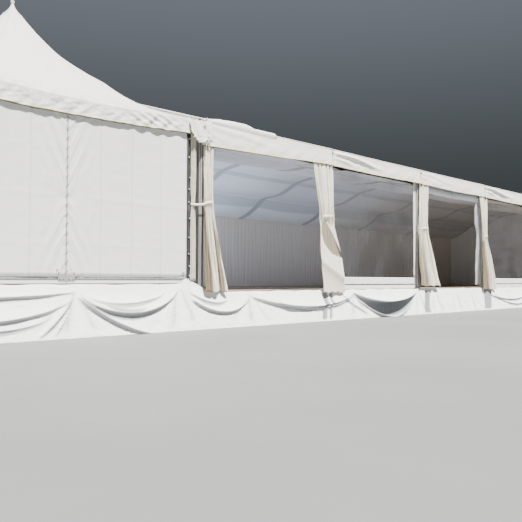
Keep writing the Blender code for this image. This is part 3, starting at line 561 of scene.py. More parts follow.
@dataclass(frozen=True)
class MetalFinish:
    """Drawn aluminium or zinc-coated steel: lengthwise draw lines, dull patches and grime."""

    name: str
    color: Triple
    roughness: float = 0.38
    stretch: Triple = (40.0, 40.0, 2.0)
    metal: float = 0.95

    def build(self) -> bpy.types.Material:
        """Makes the material and gives it."""
        material, wire = new_material(self.name)
        here = wire.place()
        lines = wire.noise(wire.scaled(here, self.stretch), 1, 3)
        grime = wire.group(SOIL, Vector=here, Scale=3, Amount=0.6)
        tone = wire.mix(wire.ramp(lines, 0.3, 0.7), tuple(0.82 * c for c in self.color), self.color)
        wire.finish(
            wire.math("MULTIPLY", lines, 0.0003),
            Base_Color=wire.mix(grime, tone, (0.20, 0.19, 0.17)),
            Roughness=wire.ramp(grime, 0, 0.6, self.roughness, 0.75),
            Metallic=wire.ramp(grime, 0, 0.6, self.metal, 0.6 * self.metal),
        )
        return material


@dataclass(frozen=True)
class BoardFinish:
    """Coated plywood boards laid along X: plank joints, grain and scuffs."""

    name: str
    color: Triple = (0.27, 0.20, 0.14)
    width: float = 0.25

    def build(self) -> bpy.types.Material:
        """Makes the material and gives it."""
        material, wire = new_material(self.name)
        here = wire.place()
        across = wire.part(here, 1)
        joint = wire.ramp(wire.math("PINGPONG", across, self.width / 2), 0.001, 0.004, 1, 0)
        row = wire.math("FLOOR", wire.math("DIVIDE", across, self.width))
        tone = wire.node("ShaderNodeTexWhiteNoise", {"noise_dimensions": "1D"}, W=row).outputs[0]
        grain = wire.noise(wire.scaled(here, (2, 30, 30)), 2, 6)
        mixed = wire.math("ADD", wire.math("MULTIPLY", tone, 0.5), wire.math("MULTIPLY", grain, 0.5))
        dark, light = (tuple(k * c for c in self.color) for k in (0.7, 1.25))
        color = wire.mix(wire.ramp(mixed, 0.2, 0.8), dark, light)
        color = wire.mix(joint, color, (0.03, 0.025, 0.02))
        scuff = wire.group(SOIL, Vector=here, Scale=1.6, Amount=0.5)
        wire.finish(
            wire.math("SUBTRACT", wire.math("MULTIPLY", grain, 0.0006), wire.math("MULTIPLY", joint, 0.003)),
            Base_Color=wire.mix(scuff, color, (0.45, 0.40, 0.33)),
            Roughness=wire.ramp(grain, 0.2, 0.8, 0.55, 0.8),
        )
        return material


FINISHES = {
    finish: made.build()
    for finish, made in {
        "peak": CoverFinish(
            "peak_cover", (0.84, 0.835, 0.81), soil=0.10, streaks=0.04, weld_spacing=20, cross_spacing=20
        ),
        "hall_roof": CoverFinish(
            "hall_cover", (0.84, 0.83, 0.80), soil=0.12, streaks=0.05, weld_spacing=3, weld_lap=0.09
        ),
        "cap": CoverFinish("cap_shell", (0.80, 0.80, 0.78), soil=0.25, streaks=0.10, roughness=0.35),
        "flap": CoverFinish(
            "flap_cover", (0.79, 0.785, 0.755), soil_color=(0.50, 0.49, 0.47), soil=0.12, streaks=0.04,
            hem_color=(0.88, 0.84, 0.62), piping_color=(0.13, 0.12, 0.05),
        ),
        "strip": CoverFinish("strip_cover", (0.84, 0.84, 0.83), soil=0.12),
        "wall": CoverFinish(
            "wall_cover", (0.80, 0.805, 0.80), soil=0.08, streaks=0.05, weld_spacing=0.465, weld_lap=0.014,
            weld_tint=0.30, hem_color=(0.90, 0.90, 0.89), crease_depth=0.0006,
        ),
        "valance": CoverFinish(
            "valance_cover", (0.84, 0.82, 0.76), soil=0.12, streaks=0.06, hem_color=(0.88, 0.80, 0.55),
            piping_color=(0.16, 0.14, 0.07),
        ),
        # shade_color is the colour of the skirt's painted shadows
        "skirt": CoverFinish(
            "skirt_cloth", (0.955, 0.96, 0.965), soil=0.05, roughness=0.85, sheen=0.2, weave_count=900,
            crease_scale=3.2, crease_depth=0.0035, shade_color=(0.06, 0.07, 0.085),
        ),
        # shade_color is the warm colour of the curtains' painted shade
        "curtain": CoverFinish(
            "curtain_cloth", (0.79, 0.75, 0.63), soil=0.12, roughness=0.8, sheen=0.2, weave_count=900,
            shade_color=(0.15, 0.11, 0.055),
        ),
        "sheer": CoverFinish(
            "sheer_cloth", (0.86, 0.88, 0.90), soil=0, roughness=0.9, alpha=0.34, weave_count=1200
        ),
        # shade_color paints the shadows of rafters and purlins seen through the lining; hem_color paints a
        # warm shade
        "ceiling": CoverFinish(
            "ceiling_lining", (0.74, 0.82, 0.97), soil=0, roughness=0.85, sheen=0.2, crease_depth=0.0008,
            shade_color=(0.24, 0.28, 0.35), hem_color=(0.50, 0.44, 0.38),
        ),
        # shade_color and hem_color give the drape's painted shade and warm painted shade
        "drape": CoverFinish(
            "wall_lining", (0.60, 0.58, 0.585), soil=0.06, roughness=0.85, sheen=0.2,
            shade_color=(0.36, 0.33, 0.31), hem_color=(0.56, 0.49, 0.43),
        ),
        "foil": FoilFinish("window_foil", (0.10, 0.105, 0.11), (0.14, 0.34)),
        "rolled": CoverFinish("rolled_foil", (0.74, 0.79, 0.84), soil=0.10),
        "rope": CoverFinish("lacing_rope", (0.70, 0.68, 0.62), soil=0.4, roughness=0.9, crease_depth=0.0005),
        "stitch": CoverFinish("dark_cord", (0.22, 0.22, 0.21), soil=0.2, roughness=0.8, crease_depth=0),
        "aluminium": MetalFinish("drawn_aluminium", (0.60, 0.60, 0.59), 0.45, metal=0.6),
        "steel": MetalFinish("zinc_coated_steel", (0.50, 0.51, 0.52), 0.5),
        "dark": MetalFinish("dark_fittings", (0.06, 0.06, 0.065), 0.55),
        # near black: the slot post stands in for the shade in the slot between the tents, a painted shade
        "channel": MetalFinish("channel_painted_shade", (0.055, 0.06, 0.065), 0.6, metal=0.4),
        # dark and dull: partly a painted shade of the gap above the peak tent's base strip
        "rail": MetalFinish("dull_aluminium_painted_shade", (0.36, 0.37, 0.37), 0.7, metal=0.1),
        "boards": BoardFinish("platform_boards"),
    }.items()
}
SLOTS = {
    finish: slot
    for slot, finishes in {
        "white_pvc": ("peak", "hall_roof", "cap", "flap", "strip", "wall", "valance", "rope", "stitch"),
        "skirt_cloth": ("skirt",),
        "curtain_cloth": ("curtain", "sheer"),
        "lining_cloth": ("ceiling", "drape"),
        "clear_foil": ("foil", "rolled"),
        "aluminium": ("aluminium", "channel", "rail"),
        "steel": ("steel", "dark"),
    }.items()
    for finish in finishes
}


def low_of(node: str) -> Array:
    """Lowest corner of a node's box."""
    return array(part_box(node)[0])


def high_of(node: str) -> Array:
    """Highest corner of a node's box."""
    return array(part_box(node)[1])


LEG_X = array([(low_of(f"hall_frame_{i}")[0] + high_of(f"hall_frame_{i}")[0]) / 2 for i in range(1, 8)])
FRONT_Y = float(low_of("hall_frame_1")[1])
REAR_Y = float(high_of("hall_frame_1")[1])
HALF_LEG = 0.045
PITCH = math.radians(18.5)


def placed(start: Array, end: Array, walked: Array, reach: Array) -> tuple[Array, Array]:
    """Plan of points walked along a line from start to end, and set out to its right by a reach."""
    along = (end - start) / np.linalg.norm(end - start)
    return start[0] + along[0] * walked + along[1] * reach, start[1] + along[1] * walked - along[0] * reach


def hang(
    piece: Piece, finish: str, flat: Pair, replaces: Names = (),
    thickness: float = 0.002,
) -> bpy.types.Object:
    """Args:
        piece: The piece whose grids are ready.
        finish: Name of the finish.
        flat: Width and length that the cloth was cut to, in metres.
        replaces: CAD nodes that it stands for.
        thickness: Thickness of the cloth.

    Returns:
        The new object.
    """
    obj = piece.make(finish, replaces, thickness)
    LOG.info("%s: cut to %.2f by %.2f m", piece.name, *flat)
    return obj


def cut_size(*grids: Array) -> Pair:
    """Flat size of cloth: the walked width of all grids side by side, and their mean length."""
    walks = [cloth_uv(points)[-1, -1] for points in grids]
    width = sum(float(walk[0]) for walk in walks)
    length = sum(float(walk[0] * walk[1]) for walk in walks) / width
    return round(width, 2), round(length, 2)


def rows_with_hem(drop: float, count: int, hem: float = 0.026, cord: float = 0.007) -> Array:
    """Distances down a flap from 0 to its drop, with close rows at both edges of the hem band."""
    body = linspace(0, drop - hem - 0.002, count)
    return np.concatenate([body, [drop - hem, drop - 0.6 * hem, drop - cord - 0.002, drop - cord, drop]])


def hem_marks(down: Array, drop: float, hem: float = 0.026, cord: float = 0.007) -> dict[str, Array]:
    """Marks of a flap's pale hem band and of the dark cord under it."""
    edge = 1e-5
    return {
        "hem": (down >= drop - hem - edge).astype(float) * (down < drop - cord - edge),
        "piping": (down >= drop - cord - edge).astype(float),
    }


class Assembly:
    """A sub-assembly of the marquee, whose build_ methods run in the order they are written in."""

    def build(self) -> None:
        """Builds every piece of the sub-assembly."""
        for name, method in vars(type(self)).items():
            if name.startswith("build_"):
                method(self)


@dataclass(frozen=True)
class PeakRoof(Assembly):
    """Four roof sheets of the high-peak tent, their hanging flaps and the turned cap."""

    half: float = 1.90
    eave: float = 3.08
    rise: float = 1.80
    power: float = 1.3
    round_share: float = 0.54
    sag: float = 0.07
    hip_dip: float = 0.07
    hip_share: float = 0.30
    drop: float = 0.20
    ring: float = 0.13
    cap: float = 0.23
    sides: Names = ("front", "right", "rear", "left")

    @property
    def centre(self) -> Array:
        """Middle of the high-peak tent in plan."""
        middle = (low_of("peak_frame") + high_of("peak_frame")) / 2
        return array([middle[0], middle[1], 0])

    def turned(self, points: Array, turn: int) -> Array:
        """Local points turned by quarter turns about the middle and moved there."""
        c, s = math.cos(turn * math.pi / 2), math.sin(turn * math.pi / 2)
        return points @ array([[c, s, 0], [-s, c, 0], [0, 0, 1]]) + self.centre

    def local(self, across: Array, share: Array) -> Array:
        """Points of the front roof sheet.

        The plan radius at angle a = 45 degrees * across is half * (1 - share)^power, divided by
        cos(a)^n with n = 1 - share / round_share, not below 0, so that the square eave turns
        into a round ring. The height is eave + rise * share, less a sag between the corners of
        sag * (1 - across^2) * n^3, and less a dip of the hips of hip_dip * across^2 * 4 * t *
        (1 - t), with t = share / hip_share.

        Args:
            across: From -1 to 1 between the two hips.
            share: Share of the rise, from 0 at the eave.

        Returns:
            The points about the tent's middle.
        """
        reach = self.half * (1 - share) ** self.power
        square = clip(1 - share / self.round_share, 0, 1)
        angle = across * math.pi / 4
        radius = reach / cos(angle) ** square
        low = clip(share / self.hip_share, 0, 1)
        drop = self.sag * (1 - across**2) * square**3 + self.hip_dip * across**2 * 4 * low * (1 - low)
        return stack(radius * sin(angle), -radius * cos(angle), self.eave + self.rise * share - drop)

    @property
    def top_share(self) -> float:
        """Share of the rise where the sheet meets the ring."""
        return 1 - (self.ring / self.half) ** (1 / self.power)

    def build_roof(self) -> None:
        """Roof sheets with soft tension folds that run up to the ring.

        The height of the folds is a sine of the angle that grows towards the ring, and a broad
        crumple near the eave, both fading to nothing at the hips.
        """
        u, v = mesh_grid(60, 61)
        across, share = 2 * u - 1, v**1.15 * self.top_share
        fade = ramp(1 - np.abs(across), 0, 0.12) * ramp(v, 0, 0.04) * (1 - ramp(v, 0.93, 1))
        for turn, side in enumerate(self.sides):
            points = self.local(across, share)
            folds = 0.004 * sin(across * 17 + 1.3 * turn) * ramp(v, 0.25, 0.8)
            broad = 0.010 * Crumple(40 + turn, 1.3)(points[..., 0], points[..., 1]) * (1 - v)
            fine = 0.0025 * Crumple(50 + turn, 0.35)(points[..., 0], points[..., 2]) * (1 - 0.6 * v)
            level = 0.02 + (np.abs(points[..., 1]) - np.abs(points[..., 0])) / math.sqrt(2)
            uv = stack(points[..., 0], level)
            soil = 0.5 * bell(v, 0, 0.10) + 0.25 * bell(v, 1, 0.1)
            points = pushed(points, (folds + broad + fine) * fade)
            sheet = Piece(f"peak_roof_{side}_sheet").grid(self.turned(points, turn), uv, soil=soil)
            hang(
                sheet, "peak", (3.8, 2.75),
                (f"peak_roof_{side}",), 0.0018,
            )

    def build_hips(self) -> None:
        """Welded hip edges: a low round bead along each hip."""
        share = linspace(0, self.top_share, 60)
        hip = self.local(np.full_like(share, 1), share) + [0, 0, 0.0005]
        paths = np.stack([self.turned(hip, turn) for turn in range(4)])
        Piece("peak_hip_welds").tubes(paths, 0.0045, 8).make("peak")

    def build_flaps(self) -> None:
        """Hanging flaps: the eave curve carried down, with crumples, a pale hem and a dark cord.

        The swing outwards is a sum of slanted waves, long and short, with fine crush marks left of
        the middle and close ripples near the right corner. It is zero where two flaps meet.
        """
        hem, cord = 0.036, 0.016
        fall = self.drop + 0.022
        down = rows_with_hem(fall, 22, hem, cord)
        across, depth = np.meshgrid(linspace(-1, 1, 221), down[::-1])
        share = depth / fall
        eave = self.local(across, np.zeros_like(across))
        x = eave[..., 0]
        ends = ramp(1 - np.abs(across), 0, 0.03)
        crush = bell(x, -0.1, 0.75)
        ripple = sin(TAU * (x / 0.19 - depth / 0.10)) * bell(x, self.half - 0.62, 0.38)
        ripple = ripple * bell(share, 0.45, 0.4)
        for turn, side in enumerate(self.sides):
            slant = Crumple(60 + turn, 0.42, 0.8)(x + 0.9 * depth, 1.6 * depth)
            short = Crumple(70 + turn, 0.13, 0.8)(x + 0.5 * depth, depth)
            swing = 0.012 * slant * ramp(share, 0, 0.5) + 0.0025 * short * ramp(share, 0, 0.25)
            tiny = Crumple(80 + turn, 0.09)(x, depth) * bell(share, 0.45, 0.35) * crush
            swing += 0.011 * ripple + 0.003 * tiny
            wave = 0.003 * Crumple(90 + turn, 0.5)(x, 0 * x) + 0.022 * bell(x, -0.8, 0.6)
            points = eave + stack(0, -0.005 - (swing + 0.006 * share) * ends, -depth - wave * share * ends)
            soil = (0.10 + 0.50 * crush) * bell(share, 0.35, 0.35)
            marks, uv = hem_marks(depth, fall, hem, cord), stack(x, 0.5 - depth)
            flap = Piece(f"peak_flap_{side}").grid(self.turned(points, turn), uv, soil=soil, **marks)
            hang(flap, "flap", (3.8, 0.235), (), 0.0018)

    def build_cap(self) -> None:
        """Turned cap: radius = neck + (ring - neck) * (1 - height)^1.6, under a small ball.

        A rolled collar lies round its foot, where the roof sheets are clamped to the ring.
        """
        base = self.eave + self.rise * self.top_share
        ball, neck = 0.028, 0.018
        ball_z = self.cap - ball
        neck_z = ball_z - math.sqrt(ball**2 - neck**2)
        share = linspace(0, 1, 26)
        skirt = stack(neck + (self.ring + 0.004 - neck) * (1 - share) ** 1.6, neck_z * share)
        angle = linspace(math.asin(-math.cos(math.asin(neck / ball))), math.pi / 2, 14)
        top = stack(ball * cos(angle), ball_z + ball * sin(angle))
        foot = array([[0, -0.012], [-0.004, -0.012], [0.007, -0.008], [0.009, 0]])
        foot[1:, 0] += self.ring
        profile = np.concatenate([foot, skirt, top[1:]])
        turn = linspace(0, TAU, 49)
        radius, height = profile[:, :1], profile[:, 1:]
        points = stack(radius * cos(turn), radius * sin(turn), base + height) + self.centre
        Piece("peak_cap_turned").grid(points).make("cap", ("peak_cap",))


class Side(Enum):
    """Closed sides of the high-peak tent, with quarter turns from the front."""

    FRONT = 0
    REAR = 2
    LEFT = 3


@dataclass(frozen=True)
class PeakWalls(Assembly):
    """Laced wall sheets of the high-peak tent, with their lacing, hems and base trims."""

    roof: PeakRoof
    half: float = 1.872
    low: float = 0.756
    high: float = 2.955
    hem: float = 0.07
    loop_step: float = 0.12
    rail: Pair = (0.672, 0.708)

    def surface(self, x: Array, z: Array, seed: int) -> Array:
        """Points of a wall sheet that faces -Y.

        The depth is a broad crumple, waves under the eave that fade downwards, puckers that die
        away from the laced joint, and soft level fold lines. The puckers follow lines of equal
        z - slope * distance: they rise from the joint in its upper part, lie level at its middle
        and fall below it. The fold lines lie where the sheet was folded in its bag.

        Args:
            x: Distance from the laced joint.
            z: Height.
            seed: Seed of the crumples.

        Returns:
            The points about the tent's middle.
        """
        away = np.abs(x)
        edge = ramp(self.half - away, 0, 0.05)
        drop = self.high - z
        slack = ramp(away, 0.02, 0.15)
        broad = 0.008 * Crumple(seed, 1.1)(x, 0.4 * z)
        eave = 0.009 * Crumple(seed + 1, 0.42)(x, 0.12 * z) * exp(-drop / 0.45)
        slope = 2 * clip((z - 1.74) / 0.35, -1, 1)
        line = z - slope * away + 0.05 * Crumple(seed + 2, 0.7)(z, 0 * z)
        reach = 0.20 + 0.06 * Crumple(seed + 4, 0.6)(z, 0 * z)
        pucker = 0.0055 * exp(-((away / reach) ** 1.5)) * sin(TAU * line / self.loop_step)
        pucker += 0.006 * bell(away, 0.10, 0.20) * sin(TAU * line / 0.31)
        creases = 0
        for level, depth in ((1.17, 0.003), (1.76, 0.004), (2.34, 0.002)):
            creases = creases + depth * exp(-np.abs(z - level) / 0.03)
        pull = 0.006 * sin(TAU * (away * 4.2 + 0.35 * z)) * bell(away, self.half - 0.1, 0.22)
        fine = 0.0012 * Crumple(seed + 3, 0.22)(x, z)
        depth = (broad * edge + eave + creases * slack + pull * edge + fine) * slack
        depth = depth + pucker * ramp(away, 0.004, 0.03)
        return stack(x, -self.half - 0.0005 - maximum(depth, 0) + 0.7 * maximum(-depth, 0), z)

    def build_sheets(self) -> None:
        """Two laced halves on each closed side, with a pale hem band at the foot."""
        edges = array([0, self.hem - 0.001, self.hem + 0.001])
        levels = np.concatenate([self.low + edges, linspace(self.low + self.hem + 0.02, self.high, 101)])
        replaced = {
            Side.FRONT: ("peak_wall_front_left", "peak_wall_front_right"),
            Side.REAR: ("peak_wall_rear",),
            Side.LEFT: ("peak_wall_left",),
        }
        for side in Side:
            piece = Piece(f"peak_wall_{side.name.lower()}_sheets")
            for start, end in ((-self.half + 0.012, -0.0025), (0.0025, self.half - 0.03)):
                x, z = np.meshgrid(linspace(start, end, 121 if side is Side.FRONT else 71), levels)
                points = self.surface(x, z, 100 + 10 * side.value)
                foot = (z <= self.low + self.hem).astype(float)
                soil = 0.25 * bell(z, self.low, 0.10) + 0.3 * bell(np.abs(x), 0, 0.03)
                piece.grid(self.roof.turned(points, side.value), stack(x, z), hem=foot, soil=soil)
            flat = (round(2 * self.half, 2), round(self.high - self.low, 2))
            hang(
                piece, "wall", flat, replaced[side], 0.0015
            )

    def build_lacing(self) -> None:
        """Rope lacing down each joint: short loops from eyelet to eyelet over the two edges."""
        levels = np.arange(self.low + 0.06, self.high - 0.08, self.loop_step)
        step = linspace(-1, 1, 9)
        rope, eyes = Piece("peak_lacing_rope"), Piece("peak_lacing_eyelets")
        for side in Side:
            out = -self.half - 0.006 - 0.006 * (1 - step**2)
            loops = stack(0.012 * step, out, levels[:, None] + 0.016 * step)
            rope.tubes(self.roof.turned(loops, side.value), 0.0032, 6)
            for sign in (-1, 1):
                eyelets = rings(sign * 0.016, -self.half - 0.005, levels + sign * 0.018, 0.006)
                eyes.tubes(self.roof.turned(eyelets, side.value), 0.0022, 5)
        rope.make("stitch")
        eyes.make("steel")

    def block(self, piece: Piece, side: Side, low: tuple, high: tuple) -> None:
        """Adds a box to a piece, given by two corners on the front wall and turned to a side."""
        ends = self.roof.turned(array([low, high]), side.value)
        piece.blocks(ends.min(axis=0), ends.max(axis=0))

    def build_trims(self) -> None:
        """Strip on the base rail, a rail above it, hinge plates at the joint and their bolts."""
        low, high = self.rail
        reach = self.half - 0.012
        strip, rail = Piece("peak_base_strip"), Piece("peak_base_rail")
        plate, bolts = Piece("peak_joint_plates"), Piece("peak_joint_bolts")
        bands = ((strip, 0.004, low, high), (rail, -0.005, high, self.low + 0.01))
        plates = (
            (-0.105, -0.006, 0.70, 0.79, 0.010), (0.006, 0.115, 0.70, 0.79, 0.010),
            (-0.008, 0.008, 0.695, 0.80, 0.016), (-0.022, 0.022, 2.80, 2.85, 0.012),
        )
        heads = array([
            [-0.085, 0.72], [-0.035, 0.72], [0.035, 0.72], [0.09, 0.72],
            [-0.10, 0.80], [0.10, 0.80], [-0.12, 0.84], [0, 2.83],
        ])
        face = stack(heads[:, 0], -self.half - 0.008, heads[:, 1])
        path = np.stack([face, face + [0, -0.007, 0]], axis=1)
        for side in Side:
            for piece, out, foot, head in bands:
                low, high = (-reach, -self.half + 0.008, foot), (reach - 0.02, -self.half - out, head)
                self.block(piece, side, low, high)
            for x0, x1, z0, z1, out in plates:
                self.block(plate, side, (x0, -self.half - out, z0), (x1, -self.half + 0.002, z1))
            bolts.tubes(self.roof.turned(path, side.value), 0.008, 8)
        strip.make("strip", bevel=0.002)
        # the rail fills the gap under the wall's foot; its dark tone is partly painted shade
        rail.make("rail")
        plate.make("aluminium", bevel=0.0015)
        bolts.make("dark")


@dataclass(frozen=True)
class RainCover(Assembly):
    """Sheet over the slot between the tents: gutter, drawn-up flap and folded strip."""

    left: float = -7.317
    right: float = -6.888
    front: float = -3.074
    top: float = 3.110
    foot: float = 2.770
    gutter: Pair = (-7.262, -7.095)
    strip: Pair = (-7.06, -5.48)

    def build_flap(self) -> None:
        """Flap that hangs over the slot, in upright folds, its foot drawn up by a tie.

        x runs over the width, narrower at the tie, and the depth is a sum of sines across the
        width that grow downwards, with a light crumple and a swelling above the foot.
        """
        u, v = mesh_grid(70, 110)
        width = self.right - self.left
        pinch = 0.22 * bell(v, 0.20, 0.12) + 0.08 * bell(v, 0.55, 0.3)
        x = self.left + width * (0.5 + (u - 0.5) * (1 - pinch) + 0.05 * pinch)
        z = self.foot + (self.top - 0.05 * (1 - u) - self.foot) * v
        z = z + (1 - v) * (0.030 * sin(TAU * (u * 1.5 + 0.1)) + 0.006 * Crumple(201, 0.2)(u, 0 * u))
        folds = 0.024 * sin(TAU * 2.1 * u + 2.6 * v + 0.6) + 0.006 * sin(TAU * 5.3 * u + 2 + 4 * v)
        crush = 0.008 * Crumple(202, 0.16)(u * width, 1.2 * z) * bell(v, 0.15, 0.25)
        out = 0.004 + (0.028 + folds) * (1 - v) ** 0.8 + crush + 0.03 * bell(v, 0.05, 0.12)
        # darker near the foot, and a painted shade on the strip at the left edge
        soil = maximum(0.8 * bell(v, 0.2, 0.25), 1.4 * ramp(0.13 - u, 0, 0.03))
        flap = Piece("rain_cover_flap").grid(stack(x, self.front - np.abs(out), z), soil=soil)
        hang(flap, "flap", (0.42, 0.38), ("rain_cover",), 0.0018)

    def build_gutter(self) -> None:
        """Gutter sheet that lies over the slot from front to back, slightly dished."""
        u, v = mesh_grid(60, 12)
        x = self.gutter[0] + (self.gutter[1] - self.gutter[0]) * u
        y = self.front + 0.01 + (high_of("peak_frame")[1] + 0.04 - self.front) * v
        dish = 0.018 * sin(math.pi * u) + 0.003 * Crumple(203, 0.4)(x, y)
        sheet = Piece("rain_cover_gutter").grid(stack(x, y, 3.010 - dish), soil=0.5)
        hang(sheet, "hall_roof", (0.17, 3.8))

    def build_strip(self) -> None:
        """Spare cloth folded to a flat pad over the hall's eave, its front flush with the eave flap.

        Two layers, one over the other. The section is a quarter of a superellipse from the front
        foot up to the crown and then straight down the slope, as high as the rise, which wavers
        along the strip, grows from the left end to the middle and steps down before the right end.
        """
        start, end = self.strip
        piece = Piece("rain_cover_strip")
        u, v = mesh_grid(40, 81)
        upper = clip((u - 0.3) / 0.7, 0, 1)
        lower = clip(1 - u / 0.3, 0, 1)
        angle = math.pi * (1 - upper)
        back = 0.5 - 0.5 * np.sign(cos(angle)) * np.abs(cos(angle)) ** 0.55
        for inset in (0, 0.012):
            x = start + inset + (end - start - 2 * inset) * v
            finish = ramp(x - start, 0, 0.10) * ramp(end - x, 0, 0.035)
            waver = 1 + 0.14 * Crumple(204, 0.35)(x, 2 * u) + 0.05 * Crumple(205, 0.08)(x, 3 * u)
            step = 1 - 0.55 * ramp(x, end - 0.62, end - 0.50)
            rise = (0.022 + 0.062 * ramp(x, start, start + 0.75) * step) * finish**0.5 * waver + 0.004
            run = -0.062 + inset + (0.30 - 2 * inset) * (1 - back) + 0.020 * lower
            lift = rise * np.abs(sin(angle)) ** (0.45 + 0.4 * (run > 0.09)) - inset - 0.065 * lower * finish
            piece.grid(stack(x, run - 3, 3.122 + maximum(run, -0.02) * math.tan(PITCH) + lift))
        hang(piece, "strip", (1.6, 1.0), (), 0.0018)

    def build_ties(self) -> None:
        """Rope ties that draw the flap up: two turns round its foot, a knot and loose ends."""
        t = linspace(0, 1, 40)
        middle, y = (self.left + self.right) / 2 + 0.02, self.front - 0.055
        paths = []
        for turn in range(2):
            x = middle + 0.125 * cos(TAU * t)
            z = self.foot + 0.055 + 0.016 * turn + 0.012 * cos(TAU * t + 0.7 * turn)
            paths.append(stack(x, y + 0.02 - 0.045 * sin(TAU * t), z))
        for angle, length in ((-0.35, 0.16), (0.25, 0.11), (0.02, 0.20)):
            x = middle + 0.06 + length * math.sin(angle) * t + 0.01 * sin(7 * t)
            paths.append(stack(x, y - 0.035 - 0.008 * sin(math.pi * t), self.foot + 0.06 - length * t))
        Piece("rain_cover_ties").tubes(paths, 0.0042, 7).make("rope")
        a = 2 * TAU * linspace(0, 1, 60)
        r = 0.016 + 0.008 * sin(1.5 * a)
        x, z = middle + 0.06 + r * cos(a), self.foot + 0.062 + r * sin(a)
        path = stack(x, y - 0.034 + 0.006 * sin(2 * a), z)
        top = path + array([-0.02, 0.02, 0.27])
        Piece("rain_cover_knots").tubes([path, top], 0.0045, 7).make("rope")


